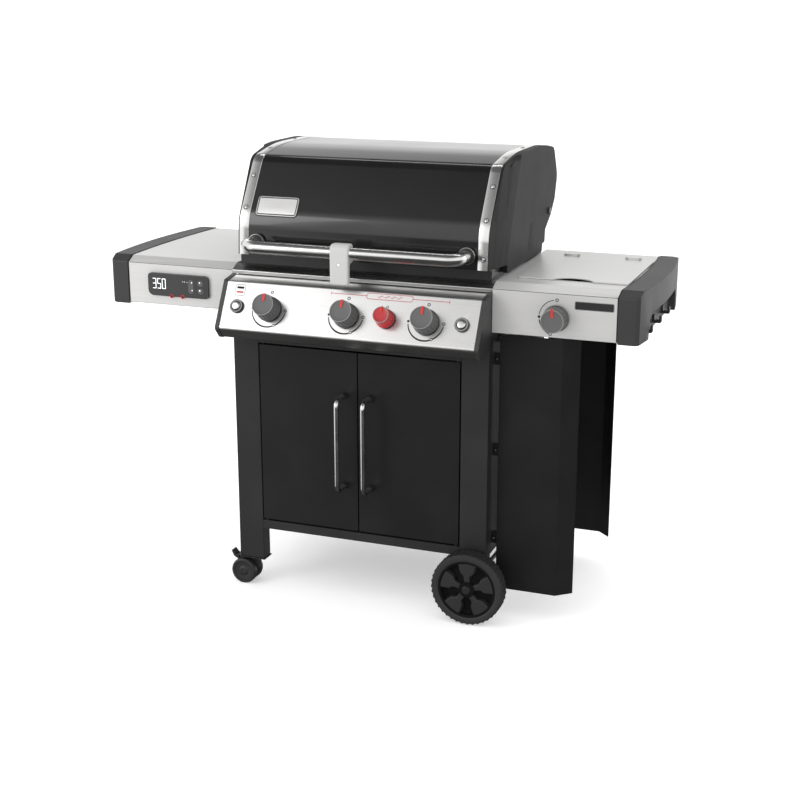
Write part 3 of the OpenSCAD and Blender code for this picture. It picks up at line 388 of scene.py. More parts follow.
def turned(profile, origin, axis, sides=48):
    """Rings of a turned shape: profile points are (radius, distance along the axis)."""
    axis = Vector(axis).normalized()
    across = axis.orthogonal().normalized()
    up = axis.cross(across)
    return [[Vector(origin) + axis * along + radius * (cos(tau * j / sides) * across
                                                       + sin(tau * j / sides) * up)
             for j in range(sides)] for radius, along in profile]


def polished(name, tone, roughness):
    """Plated or polished steel: faint long scratches and a few dull smears."""
    steel = Finish(name, (tone, tone, tone * 0.985), roughness, Metallic=1.0)
    smear = steel.noise(18, 5)
    steel.set(Roughness=roughness + 0.10 * smear.above(0.55, 0.2))
    return steel.bump(steel.noise(260, 2, (1, 6, 6)), 0.02, 0.0004).material


def moulding(name, tone, roughness=0.5, grain=0.25, gleam=0.5):
    """Moulded plastic with a fine leather-like grain."""
    plastic = Finish(name, (tone, tone, tone), roughness, Specular_IOR_Level=gleam)
    wear = plastic.noise(11, 4)
    plastic.set(Base_Color=plastic.mix(wear * 0.5, shade(tone * 0.88), shade(tone * 1.18)),
                Roughness=roughness - 0.08 * (wear - 0.5))
    return plastic.bump(plastic.noise(1400, 2), grain, 0.0003).material


handle_steel = polished("handle_steel", 0.72, 0.16)
black_moulding = moulding("black_moulding", 0.018, 0.42)

for side, sign in (("left", -1), ("right", 1)):
    low, high = span("door_handle_" + side)
    bar_x = (low.x + high.x) / 2
    bar_y = low.y + 6.5
    top, bottom = high.z - 9, low.z + 9
    path = bent([(bar_x, -12, bottom, 0), (bar_x, bar_y, bottom, 18), (bar_x, bar_y, top, 18),
                 (bar_x, -12, top, 0)], 10)
    vertices, faces = skin(tube(path, 6.5))
    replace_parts(body_of("handle_tube_" + side, vertices, faces, "door_" + side, handle_steel, "chrome"),
                "door_handle_" + side)
    for end, z in (("upper", top), ("lower", bottom)):
        foot = turned([(0, 0), (8.8, 0), (9.0, 1), (8.6, 3), (7.9, 8), (7.9, 15.5), (7.2, 16.5), (0, 16.5)],
                      (bar_x, 0, z), (0, -1, 0))
        body_of(f"handle_foot_{end}_{side}", *skin(foot, capped=False), "door_" + side, black_moulding,
                "dark_plastic")

# ---- Wheels ------------------------------------------------------------------------------
# Two large wheels blow-moulded in black plastic, with a lugged tread and five spokes over a
# dished web. A push-on cap covers the end of the axle.
wheel_plastic = moulding("wheel_plastic", 0.02, 0.46, 0.3)
tread_plastic = moulding("tread_plastic", 0.022, 0.62, 0.5)
# The web's plastic is darker and duller than the rest of the wheel: painted shade in the recess behind the
# spokes.
web_shade_plastic = moulding("web_shade_plastic", 0.006, 0.7, 0.3, 0.1)
wheel_low, wheel_high = span("wheel_front")
wheel_mid = (wheel_low + wheel_high) / 2
wheel_radius = wheel_mid.z - wheel_low.z
wheel_width = wheel_high.y - wheel_low.y
rim_radius = wheel_radius - 23


def big_wheel(name, hub_face, outward):
    """Everything of one wheel; hub_face is the middle of its outer face."""
    axis, centre = Vector((0, outward, 0)), Vector(hub_face)
    r, w = wheel_radius, wheel_width
    tread = [(rim_radius + 1, -w + 4), (rim_radius + 3, -w + 1.5), (r - 16, -w), (r - 6, -w + 1),
             (r - 2.5, -w + 5),
             (r - 2.5, -5), (r - 6, -1), (r - 16, 0), (rim_radius + 3, -1.5), (rim_radius + 1, -4)]
    rings = turned(tread, centre, axis, 120)
    rings.append(rings[0])
    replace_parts(body_of(name + "_tread", *skin(rings, capped=False), name, tread_plastic,
                        "wheel_plastic"), name)
    # Lugs round the tread: slanted bars, alternating left and right
    points, faces = [], []
    across = axis.orthogonal().normalized()
    up = axis.cross(across)
    for i in range(40):
        for half, lean in ((0, 1), (1, -1)):
            ends = ((-w + 3, -w / 2 + 2) if half else (-w / 2 - 2, -3))
            start = len(points)
            for along in ends:
                turn = tau * (i + half / 2) / 40 + lean * 0.035 * (along - ends[0]) / (ends[1] - ends[0])
                for wide in (-0.026, 0.026):
                    for high in (r - 4, r - 1.4):
                        a = turn + wide * (1 if high < r else 0.72)
                        points.append(centre + axis * along + high * (cos(a) * across + sin(a) * up))
            faces += [tuple(start + k for k in face) for face in
                      ((0, 1, 3, 2), (4, 6, 7, 5), (0, 4, 5, 1), (2, 3, 7, 6), (1, 5, 7, 3), (0, 2, 6, 4))]
    body_of(name + "_lugs", points, faces, name, tread_plastic, "wheel_plastic", 20)
    # Rim, hub and dished web in one turned shape, in a darker copy of the wheel plastic: painted shade in the
    # recess behind the spokes
    web = [(rim_radius + 2, -2.5), (rim_radius - 1, -2), (rim_radius - 4, -4), (rim_radius - 6, -15),
           (rim_radius - 12, -19),
           (34, -17), (24, -12), (21, -3), (19.5, -1), (12.5, -1), (12.5, -6), (0, -6)]
    body_of(name + "_web", *skin(turned(web, centre, axis, 96), capped=False), name, web_shade_plastic,
            "wheel_plastic", 30)
    back = [(rim_radius + 2, -w + 2.5), (rim_radius - 3, -w + 4), (rim_radius - 8, -w + 17),
            (30, -w + 20), (20, -w + 4), (9, -w + 3)]
    body_of(name + "_back", *skin(turned(back, centre, axis, 96), capped=False), name, wheel_plastic,
            "wheel_plastic", 30)
    # Spokes: tapered boxes that flare at both ends
    outline = [(19, -7), (36, -8), (44, -17), (rim_radius - 3, -25), (rim_radius - 3, 25), (44, 17),
               (36, 8), (19, 7)]
    for i in range(5):
        a = tau * i / 5
        out = cos(a) * Vector((0, 0, 1)) + sin(a) * Vector((1, 0, 0))
        beside = axis.cross(out)
        rings = [[centre + axis * depth + out * x + beside * y * wide for x, y in outline]
                 for depth, wide in ((-18, 1.25), (-4.5, 1.0))]
        rounded(body_of(f"{name}_spoke_{i + 1}", *skin(rings), name, wheel_plastic, "wheel_plastic"), 2, 3)
    cap = [(0, 3.4), (6, 3.2), (9.5, 2.2), (11.3, 0.4), (11.6, -2), (11.6, -6), (0, -6)]
    body_of(name + "_cap", *skin(turned(cap, centre, axis), capped=False), name, black_moulding,
            "wheel_plastic", 50)


wheel_rear_high = span("wheel_rear")[1]
big_wheel("wheel_front", (wheel_mid.x, wheel_low.y, wheel_mid.z), -1)
big_wheel("wheel_rear", (wheel_mid.x, wheel_rear_high.y, wheel_mid.z), 1)
paint("axle", polished("axle_steel", 0.1, 0.4))

# ---- Casters -----------------------------------------------------------------------------
# Twin-wheel casters moulded in black plastic: a hood over two discs, on a steel stem pushed
# into a plug in the leg, with a lock pedal at the back.
for node in ("caster_sockets", "caster_fork_front", "caster_fork_rear", "caster_lever_front",
             "caster_lever_rear"):
    paint(node, black_moulding)
    soften(node, 0.7)

for place in ("front", "rear"):
    wheels = "caster_wheels_" + place
    low, high = span(wheels)
    radius, half_width = (high.z - low.z) / 2, (high.y - low.y) / 2
    middle = (low + high) / 2
    for outward, name in ((-1, "outer"), (1, "inner")):
        disc = [(0, 8), (radius - 5, 8), (radius - 1.5, 9), (radius, 12), (radius, half_width - 5),
                (radius - 1.2, half_width - 1.8),
                (radius - 4, half_width), (radius - 8, half_width), (radius - 9.5, half_width - 2.4),
                (14, half_width - 3.2),
                (10.5, half_width - 1), (8, half_width - 0.6), (7, half_width - 2), (0, half_width - 2)]
        piece = body_of(f"caster_{name}_{place}", *skin(turned(disc, middle, (0, outward, 0), 72),
                                                        capped=False),
                        wheels, wheel_plastic, "wheel_plastic", 30)
        if name == "outer":
            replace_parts(piece, wheels)
    pin = turned([(3.9, -8.5), (3.9, 8.5)], middle, (0, 1, 0), 24)
    body_of("caster_pin_" + place, *skin(pin), wheels, handle_steel, "wheel_plastic")

# ---- Shields beside the cart -------------------------------------------------------------
# Two steel sheets, bent along their outer edges, that screen a hung gas cylinder. A hook of
# bent flat steel on the cart's side carries the cylinder.
paint("tank_shields", panel_paint)
soften("tank_shields", 0.6)
zinc = polished("zinc_plate", 0.5, 0.38)
paint("tank_hook", zinc)
soften("tank_hook", 0.8)

shield_low = span("tank_shields")[0]
# Near-black for openings and crevices: painted shade in the lid's slots and round the rivet heads.
painted_hollow_shade = Finish("painted_hollow_shade", (0.004, 0.004, 0.004), 0.7).material


# ---- Tables ------------------------------------------------------------------------------
# Folded stainless sheet, brushed from end to end, with a shallow slope along the front. The
# brushing leaves fine lines and long faint streaks.


def brushed(name, tone, roughness, along="X", tint=(1, 0.993, 0.982), metal=1.0):
    """Stainless steel with brush lines along one axis."""
    steel = Finish(name, tuple(tone * t for t in tint), roughness, Metallic=metal)
    line_scale = {"X": (1.2, 240, 240), "Y": (240, 1.2, 240), "Z": (240, 240, 1.2)}[along]
    streak_scale = {"X": (0.6, 26, 26), "Y": (26, 0.6, 26), "Z": (26, 26, 0.6)}[along]
    lines = steel.noise(1.6, 6, line_scale)
    streaks = steel.noise(1.0, 4, streak_scale)
    smudges = steel.noise(6, 3)
    tones = 0.6 * lines + 0.4 * streaks
    bright = [min(1, tone * 1.07 * t) for t in tint]
    dark = [tone * 0.86 * t for t in tint]
    steel.set(Base_Color=steel.mix(tones, (*dark, 1), (*bright, 1)),
              Roughness=roughness + 0.14 * (lines - 0.5) + 0.05 * (smudges - 0.5))
    return steel.bump(lines, 0.05, 0.0003).material


table_steel = brushed("table_steel", 0.72, 0.36, metal=0.45)
front_steel = brushed("front_steel", 0.64, 0.26)
for node in ("table_left", "table_right", "top_trim"):
    paint(node, front_steel if node == "top_trim" else table_steel)
    soften(node, 0.5, 2, 25)
paint("table_brackets", leg_paint)
soften("table_brackets", 1)

# ---- End caps of the tables --------------------------------------------------------------
# Thick grey plastic mouldings with rounded corners and an arch cut into the outer side, where
# three hooks for tools stand out.
cap_plastic = moulding("cap_plastic", 0.035, 0.46, 0.3)
paint("table_end_caps", cap_plastic)
soften("table_end_caps", 4.2, 4, 30)
paint("tool_hooks", black_moulding)
soften("tool_hooks", 1.2, 3)

# Near-black strips: a seal line where each table meets its end cap, and painted shade of the gap round the
# side burner's cover.
seal_and_gap_shade = Finish("cap_seal", (0.006, 0.006, 0.006), 0.6).material
edge_low, edge_high = span("table_right")
table_bow = 11                                 # how far a table's end bows outwards
slope_depth, slope_drop = 30, 14.5             # of the slope along a table's front
table_out = edge_high.x - table_bow
table_depth = edge_high.y - edge_low.y
arc_radius = (table_depth ** 2 / 4 + table_bow ** 2) / (2 * table_bow)
slope_foot, slope_top = edge_high.z - slope_drop, edge_low.y + slope_depth
for sign, name in ((-1, "left"), (1, "right")):
    line = [(edge_low.y, edge_low.z + 2), (edge_low.y, slope_foot)]
    line += [(slope_top + (table_depth - slope_depth - 2) * i / 24, edge_high.z) for i in range(25)]
    rims = []
    for inward in (0.05, 3.2):
        edge = []
        for y, z in line:
            off = y - (edge_low.y + edge_high.y) / 2
            x = edge_high.x - arc_radius + (arc_radius ** 2 - off ** 2) ** 0.5 - inward
            edge.append((sign * x, y - (0.1 if y > edge_low.y else 0.2), z + (0.2 if y > edge_low.y else 0)))
        rims.append(edge)
    count = len(line)
    faces = [(i, i + 1, count + i + 1, count + i) for i in range(count - 1)]
    body_of("cap_seal_" + name, rims[0] + rims[1], faces, "cart", seal_and_gap_shade, "dark_plastic")

# A fine shadow line runs along the fold between each table's slope and its front
folds = []
for sign in (-1, 1):
    for x, z in ((edge_low.x + 0.5, slope_foot - 1.1), (table_out - 0.5, slope_foot - 1.1),
                 (table_out - 0.5, slope_foot + 0.3), (edge_low.x + 0.5, slope_foot + 0.3)):
        folds.append((sign * x, edge_low.y - 0.12, z))
fold_tone = Finish("fold_shadow", (0.09, 0.09, 0.09), 0.5).material
body_of("table_folds", folds, [(0, 1, 2, 3), (4, 5, 6, 7)], "cart", fold_tone, "stainless")

# ---- Display on the left table -----------------------------------------------------------
# A moulded housing set on the table's front, with white numerals behind its smooth face, a
# rocker and two round keys, and two red-ringed sockets for probes under its lower edge.
housing_plastic = moulding("housing_plastic", 0.045, 0.4)
low, high = span("display_module")
paint("display_module", housing_plastic)
soften("display_module", 1.6, 3)


def plate_outline(x0, x1, z0, z1, radius, steps=6):
    return bent([(x0, z0, radius), (x1, z0, radius), (x1, z1, radius), (x0, z1, radius)], steps, closed=True)


def facing_plate(name, outline, back, front, body, material, slot, edge=0.5):
    """A plate standing on a face that looks to -Y; the outline is (x, z)."""
    rings = [[(p.x, y, p.y) for p in outline] for y in (back, front)]
    return rounded(body_of(name, *skin(rings), body, material, slot), edge)


display_front = moulding("display_front", 0.04, 0.3, 0.05)
facing_plate("display_panel", plate_outline(low.x + 5, high.x - 5, low.z + 2.6, high.z - 3.5, 9),
             low.y + 0.5, low.y - 0.4, "cart", display_front, "dark_plastic", 0.3)


def stripe(points, width, ends=None):
    """The two edges of a flat line through points given as (x, down)."""
    left, right = [], []
    for i, (x, y) in enumerate(points):
        (ax, ay), (bx, by) = points[max(i - 1, 0)], points[min(i + 1, len(points) - 1)]
        length = hypot(bx - ax, by - ay)
        nx, ny = -(by - ay) / length, (bx - ax) / length
        w = (width if ends is None else width + (ends - width) * i / (len(points) - 1)) / 2
        left.append((x + nx * w, y + ny * w))
        right.append((x - nx * w, y - ny * w))
    return left, right


class Print:
    """Flat printing on a face, gathered into one mesh; place() turns (x, down) into a point."""

    def __init__(self, place):
        self.place, self.points, self.faces = place, [], []

    def line(self, points, width, ends=None):
        left, right = stripe(points, width, ends)
        start, n = len(self.points), len(points)
        self.points += [self.place(*p) for p in left + right]
        self.faces += [(start + i, start + i + 1, start + n + i + 1, start + n + i) for i in range(n - 1)]

    def arc(self, x, y, radius, first, last, width, ends=None, steps=40):
        """Clockwise angles from the top, in degrees."""
        turns = [radians(first + (last - first) * i / steps) for i in range(steps + 1)]
        self.line([(x + radius * sin(a), y - radius * cos(a)) for a in turns], width, ends)

    def disc(self, x, y, radius, steps=20):
        start = len(self.points)
        self.points += [self.place(x + radius * cos(tau * i / steps), y + radius * sin(tau * i / steps))
                        for i in range(steps)]
        self.faces.append(tuple(range(start, start + steps)))

    def piece(self, name, material, slot="stainless"):
        return body_of(name, self.points, self.faces, "cart", material, slot)


glow = Finish("numeral_white", (0.8, 0.82, 0.82), 0.5, Emission_Strength=0.75)
glow.set(Emission_Color=glow.mix(glow.noise(300, 1), (0.75, 0.8, 0.82, 1), (0.9, 0.92, 0.92, 1)))
strokes = {"top": ((0, 2), (1, 2)), "upper_left": ((0, 1), (0, 2)), "upper_right": ((1, 1), (1, 2)),
           "middle": ((0, 1), (1, 1)),
           "lower_left": ((0, 0), (0, 1)), "lower_right": ((1, 0), (1, 1)), "bottom": ((0, 0), (1, 0))}
digits = {"3": ("top", "upper_right", "middle", "lower_right", "bottom"),
          "5": ("top", "upper_left", "middle", "lower_right", "bottom"),
          "0": ("top", "upper_left", "upper_right", "lower_left", "lower_right", "bottom")}


def numerals(name, text, x, z, width, height, thick, y):
    points, faces = [], []
    for i, digit in enumerate(text):
        for stroke in digits[digit]:
            (ax, az), (bx, bz) = strokes[stroke]
            a = Vector((x + i * width * 1.55 + ax * width, z + az * height / 2))
            b = Vector((x + i * width * 1.55 + bx * width, z + bz * height / 2))
            ahead = (b - a).normalized()
            beside = Vector((-ahead.y, ahead.x)) * thick / 2
            a, b = a + ahead * thick * 0.15, b - ahead * thick * 0.15
            start = len(points)
            ring = [a - beside, b - beside, b + ahead * thick / 2, b + beside, a + beside,
                    a - ahead * thick / 2]
            points += [(p.x, y, p.y) for p in ring]
            faces.append(tuple(range(start, start + 6)))
    return body_of(name, points, faces, "cart", glow.material, "dark_plastic")


numerals("display_numerals", "350", low.x + 15, low.z + 20.5, 9.2, 26, 2.1, low.y - 0.5)
key_low = span("display_keypad")[0]
marks = Print(lambda x, down: Vector((x, (key_low.y if x > key_low.x else low.y - 0.4) - 0.12,
                                      high.z - down)))
for x, down, radius in ((-473.8, 19, 1.7), (-472.7, 39.7, 1.5), (-449.9, 17.8, 1.8), (-450.2, 38.9, 2.2),
                        (-500.8, 18.2, 1.0),
                        (-495, 18.5, 1.0), (-487.3, 18.8, 1.0)):
    marks.disc(x, down, radius)
marks.piece("display_marks", glow.material, "dark_plastic")

paint("display_keypad", moulding("key_plastic", 0.1, 0.5))
soften("display_keypad", 0.35)
red_ring = Finish("probe_red", (0.55, 0.02, 0.02), 0.4)
red_ring.set(Roughness=0.34 + 0.12 * red_ring.noise(80, 2))
table_face = span("table_left")[0].y
for i, x in enumerate((-535.5, -502.5)):
    socket = turned([(5.7, 0), (5.7, 9.6), (5.1, 10.2), (4.0, 10.2), (3.5, 9.4), (3.4, 5)],
                    (x, table_face, low.z + 1.5), (0, -1, 0), 32)
    body_of(f"probe_ring_{i + 1}", *skin(socket, capped=False), "cart", red_ring.material, "dark_plastic")
    plug = turned([(3.5, 0), (3.5, 8.4), (1.6, 8.6), (1.4, 5), (0, 5)], (x, table_face, low.z + 1.5),
                  (0, -1, 0), 24)
    body_of(f"probe_socket_{i + 1}", *skin(plug, capped=False), "cart", black_moulding, "dark_plastic")

# ---- Firebox -----------------------------------------------------------------------------
# Cast box in black enamel that stands between the legs. Stainless burner tubes and folded
# flame tamers lie in it, under grates of cast iron.


def enamel(name, tone, roughness, ripple=0.06):
    """Vitreous enamel: deep gloss with a slow ripple and tiny pits."""
    glass = Finish(name, (tone, tone, tone * 1.02), roughness, Specular_IOR_Level=0.6, Coat_Weight=0.3,
                   Coat_Roughness=0.05)
    film = glass.noise(5, 4)
    glass.set(Roughness=roughness + 0.08 * film.above(0.58, 0.25))
    return glass.bump(glass.noise(120, 3) + 0.4 * glass.noise(14, 2), ripple, 0.0006).material


box_enamel = enamel("box_enamel", 0.012, 0.32)
paint("cookbox", box_enamel)
soften("cookbox", 1.2)
end_casting = moulding("end_casting", 0.075, 0.38, 0.2)
paint("hinge_arms", end_casting)
soften("hinge_arms", 1)

burnt = Finish("heated_steel", (0.45, 0.42, 0.38), 0.42, Metallic=1.0)
heat = burnt.noise(9, 4)
burnt.set(Base_Color=burnt.node("ShaderNodeValToRGB", {"stops": ((0.3, (0.42, 0.40, 0.38)),
                                                                 (0.48, (0.40, 0.30, 0.17)),
                                                              (0.62, (0.20, 0.18, 0.22)),
                                                                 (0.75, (0.33, 0.31, 0.29)))}, heat),
          Roughness=0.32 + 0.25 * heat)
burnt.bump(burnt.noise(300, 2), 0.08, 0.0004)
for node in ("burner_tubes", "flame_tamers"):
    paint(node, burnt.material)
    soften(node, 0.4)


def cast_iron(name, tone):
    """Seasoned cast iron: sandy surface, with broad patches of lighter, rougher iron."""
    iron = Finish(name, (tone, tone, tone), 0.6)
    sand = iron.noise(420, 3)
    patches = iron.noise(26, 4)
    iron.set(Base_Color=iron.mix(patches, shade(tone * 0.7), shade(tone * 1.5)),
             Roughness=0.5 + 0.25 * (patches - 0.5))
    return iron.bump(sand, 0.35, 0.0006).material


grate_iron = cast_iron("grate_iron", 0.022)
for node in ("cooking_grates", "side_burner_grate"):
    paint(node, grate_iron)
    soften(node, 1.0)
rack_chrome = polished("rack_chrome", 0.62, 0.2)
paint("warming_rack", rack_chrome)
soften("warming_rack", 0.4)
tray_aluminium = brushed("tray_aluminium", 0.6, 0.42, "Y", (1, 1, 1))
paint("grease_tray", tray_aluminium)
soften("grease_tray", 0.8)
paint("gas_manifold", tray_aluminium)
soften("gas_manifold", 0.4)
brass = Finish("valve_brass", (0.62, 0.42, 0.16), 0.34, Metallic=1.0)
brass.set(Roughness=0.3 + 0.15 * brass.noise(60, 3))
paint("gas_valves", brass.material)
soften("gas_valves", 0.8)

# ---- Control panel -----------------------------------------------------------------------
# One stainless sheet, brushed lengthwise, that slopes back under the lid's handle. Its top and
# foot are rolled, and black moulded caps close its two ends.
panel_steel = brushed("panel_steel", 0.7, 0.3)
paint("control_panel", panel_steel)
soften("control_panel", 0.5, 2, 25)
end_cap_plastic = moulding("end_cap_plastic", 0.03, 0.42)
paint("panel_end_caps", end_cap_plastic)
soften("panel_end_caps", 2.4, 3)

panel_tilt = radians(28.5)
panel_corner = Vector((0, -36, 861))       # where the top edge of the sloping face would be sharp
down_panel = Vector((0, -sin(panel_tilt), -cos(panel_tilt)))
out_of_panel = Vector((0, -cos(panel_tilt), sin(panel_tilt)))
rightward = Vector((1, 0, 0))


def on_panel(x, down, out=0.0):
    return panel_corner + rightward * x + down_panel * down + out_of_panel * out


print_black = Finish("print_black", (0.012, 0.012, 0.013), 0.5, Specular_IOR_Level=0.2)
print_black.set(Roughness=0.44 + 0.1 * print_black.noise(200, 2))
print_red = Finish("print_red", (0.5, 0.02, 0.02), 0.45)
print_red.set(Roughness=0.4 + 0.1 * print_red.noise(200, 2))
ink = 0.14        # how far the printing stands off the sheet


main_knobs = (("left", -213), ("middle", 0), ("right", 213))
knob_down = 69
scale = Print(lambda x, down: on_panel(x, down, ink))
for _, x in main_knobs:
    scale.arc(x - 1, knob_down, 46.5, 262, 208, 2.4, 4.2)      # flame scale, from high to low
    scale.arc(x - 1, knob_down, 46.5, 208, 160, 4.2, 4.0)
    scale.arc(x - 1, knob_down, 46.5, 149, 98, 4.0, 2.6)
    scale.disc(x - 47.5, knob_down, 3.4)
    for turn in (154.5, 90, 0):                                # low, and the two ends of the range
        scale.arc(x - 1 + 46 * sin(radians(turn)), knob_down - 46 * cos(radians(turn)), 3.3, 0, 360, 2.0,
                  steps=24)
sear_x = 106
scale.arc(sear_x - 1, knob_down - 31.5, 2.7, 0, 360, 1.5, steps=24)
# A plain label with a band, near the left button
label = plate_outline(-319, -291, 9, 38, 5)
scale.line([(p.x, p.y) for p in label] + [(label[0].x, label[0].y)], 1.3)
scale.line([(-315, 17), (-295, 17)], 6)
scale.piece("panel_scale", print_black.material)

sear_zone = Print(lambda x, down: on_panel(x, down, ink))
sear_zone.line([(-51, 12.5), (45, 12.5)], 1.5)
sear_zone.line([(168, 12.5), (264, 12.5)], 1.5)
for x in (-51, 264):
    sear_zone.line([(x, 8.5), (x, 16.5)], 1.5)
box = plate_outline(45, 168, 5, 20, 6)
sear_zone.line([(p.x, p.y) for p in box] + [(box[0].x, box[0].y)], 1.5)
for x in (76, 93, 110, 127):                                    # a row of heat waves
    sear_zone.line([(x + 1.6 * i, 12.5 + 2.6 * sin(tau * i / 8)) for i in range(9)], 1.5)
sear_zone.line([(-315, 29), (-295, 29)], 4.5)                   # the label's second band
sear_zone.piece("sear_zone_line", print_red.material)

# ---- Knobs -------------------------------------------------------------------------------
# Moulded grey knobs on D-shaped stems. A wide skirt carries a fluted grip with a lighter
# raised ring on its face, and a red pointer marks the setting. The sear knob is red.
knob_grey = moulding("knob_grey", 0.075, 0.38, 0.15)
knob_ring = moulding("knob_ring_grey", 0.22, 0.34, 0.1)
knob_face = moulding("knob_face_grey", 0.105, 0.42, 0.3)
sear_red = Finish("sear_red", (0.42, 0.012, 0.016), 0.34, Coat_Weight=0.15)
sear_red.set(Base_Color=sear_red.mix(sear_red.noise(12, 3), (0.36, 0.010, 0.014, 1), (0.48, 0.016, 0.02, 1)))
sear_red.bump(sear_red.noise(900, 2), 0.1, 0.0003)
pointer_red = Finish("pointer_red", (0.62, 0.012, 0.012), 0.4)
pointer_red.set(Roughness=0.36 + 0.1 * pointer_red.noise(150, 2))
paint("control_bezels", moulding("bezel_black", 0.015, 0.4))
soften("control_bezels", 0.7)


def knob(name, foot, out, up, skirt, height, grip_color, ring_color):
    """A knob from the middle of its back face; out is its axis and up points to the top mark."""
    beside = up.cross(out)

    def point(radius, turn, along):
        return foot + out * along + radius * (cos(turn) * beside + sin(turn) * up)

    def fluted(radius, depth, along, sides=144, flutes=18):
        """A ring with flutes all round."""
        rings = []
        for j in range(sides):
            wave = max(0.0, cos(flutes * tau * j / sides)) ** 2
            rings.append(point(radius - depth * wave, tau * j / sides, along))
        return rings

    grip, top = skirt - 2.2, height
    rings = [fluted(skirt - 2.5, 0, 0), fluted(skirt - 0.4, 0, 0.4), fluted(skirt, 0, 1.6),
             fluted(skirt - 0.3, 0, 4.6),
             fluted(skirt - 0.9, 0, 6.0), fluted(grip + 0.4, 0, 7.2), fluted(grip, 0.5, 8.6),
             fluted(grip - 0.2, 1.5, 11),
             fluted(grip - 1.2, 1.7, top - 6), fluted(grip - 1.5, 1.2, top - 3),
             fluted(grip - 2.0, 0.3, top - 1.0),
             fluted(grip - 2.8, 0, top - 0.2), fluted(grip - 3.4, 0, top), fluted(grip - 3.8, 0, top)]
    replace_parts(body_of(name + "_grip", *skin(rings, capped=False), name, grip_color, "knob_grey", 50), name)
    face = turned([(grip - 3.8, top), (grip - 4.0, top - 1.0), (grip - 5.4, top - 1.3),
                   (grip * 0.45, top - 1.5), (0, top - 1.6)],
                  foot, out, 72)
    body_of(name + "_face", *skin(face, capped=False), name,
            knob_face if grip_color is knob_grey else grip_color, "knob_grey", 30)
    ring = turned([(grip - 1.9, top - 0.9), (grip - 2.1, top + 0.3), (grip - 2.6, top + 0.7),
                   (grip - 3.5, top + 0.7),
                   (grip - 4.0, top + 0.3), (grip - 4.1, top - 0.8)], foot, out, 96)
    body_of(name + "_ring", *skin(ring, capped=False), name, ring_color, "knob_grey", 40)
    # Pointer: a raised red bar from the face over the ring and down the grip's side
    path = [(grip * 0.3, top - 1.7), (grip * 0.3, top + 0.3), (grip - 4.4, top + 0.95),
            (grip - 2.4, top + 0.95),
            (grip - 1.2, top - 0.6), (grip - 0.7, top - 4.5), (grip - 2.4, top - 4.5)]
    wide = 2.9 if skirt > 30 else 2.2
    rings = [[foot + out * along + up * radius + beside * side for radius, along in path]
             for side in (-wide, wide)]
    body_of(name + "_pointer", *skin(rings), name, pointer_red.material, "knob_red")


knob_back = 5.5
up_panel = -down_panel
for name, x in main_knobs:
    knob("knob_" + name, on_panel(x, knob_down, knob_back), out_of_panel, up_panel, 33, 39.4, knob_grey,
         knob_ring)
knob("knob_sear", on_panel(sear_x, knob_down, knob_back), out_of_panel, up_panel, 25, 35.4,
     sear_red.material, knob_ring)
low, high = span("knob_side")
side_knob = (low + high) / 2
knob("knob_side", Vector((side_knob.x, high.y, side_knob.z)), Vector((0, -1, 0)), Vector((0, 0, 1)), 33,
     39.4, knob_grey, knob_ring)
table_front = span("table_right")[0].y
side_scale = Print(lambda x, down: Vector((side_knob.x + x, table_front - ink, side_knob.z - down)))
side_scale.arc(0, 0, 44, 262, 206, 2.4, 4.2)
side_scale.disc(-44, 0, 3.4)
side_scale.arc(0, 0, 44, 278, 350, 1.8)
for turn in (200, 0):
    side_scale.arc(44 * sin(radians(turn)), -44 * cos(radians(turn)), 3.3, 0, 360, 1.9, steps=24)
side_scale.piece("side_scale", print_black.material)

# ---- Igniter buttons ---------------------------------------------------------------------
# Bright caps in black bezels, one near each end of the panel; a small light ring is moulded
# round each cap.
for node, x in (("button_left", -305), ("button_right", 305)):
    cap = turned([(11.4, 1), (11.4, 8.2), (11.0, 9.4), (9.8, 10.6), (6.5, 10.9), (0, 11.0)],
                 on_panel(x, 68), out_of_panel, 48)
    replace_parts(body_of(node + "_cap", *skin(cap, capped=False), node, handle_steel, "chrome", 50), node)
    ring = turned([(17.2, 6.9), (16.6, 7.7), (14.6, 7.8), (13.2, 7.2), (12.7, 6.2)], on_panel(x, 68),
                  out_of_panel, 64)
    body_of(node + "_ring", *skin(ring, capped=False), "cart", knob_ring, "dark_plastic", 40)

# ---- Lid ---------------------------------------------------------------------------------
# A curved steel sheet in gloss black enamel, hemmed at its lower edge, held between two cast
# ends. Its section is drawn as (y, z) and fitted to the CAD sheet's height.
lid_enamel = enamel("lid_enamel", 0.006, 0.13, 0.035)
low, high = span("lid_shell")
lid_half = high.x
lid_section = bent([(22, 921, 0), (28.5, 1017, 110), (124.5, 1165.5, 46), (250, 1186.5, 600),
                    (455, 1186.5, 600),
                    (552, 1170, 30), (593, 1092, 40), (572, 1030, 0)], 14)


def normals_of(path, closed=False):
    """Unit vectors to the left of a path at its points, long enough for an even offset."""
    result, count = [], len(path)
    for i in range(count):
        before = path[i] - path[i - 1] if closed or i > 0 else path[1] - path[0]
        after = path[(i + 1) % count] - path[i] if closed or i < count - 1 else before
        a, b = Vector((-before.y, before.x)).normalized(), Vector((-after.y, after.x)).normalized()
        middle = (a + b).normalized()
        result.append(middle / max(0.4, middle.dot(a)))
    return result


def moved(path, distance, closed=False):
    return [p + n * distance for p, n in zip(path, normals_of(path, closed))]


outer = list(lid_section)
inner = moved(lid_section, -2)
section = outer + inner[:0:-1] + [Vector((24.2, 924)), Vector((33, 924)), Vector((33.6, 922.6)),
                                  Vector((33, 921.2)), Vector((24, 921))]
rings = [[(x, p.x, p.y) for p in section] for x in (-lid_half, -lid_half / 2, 0, lid_half / 2, lid_half)]
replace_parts(body_of("lid_sheet", *skin(rings), "lid", lid_enamel, "enamel", 30), "lid_shell")

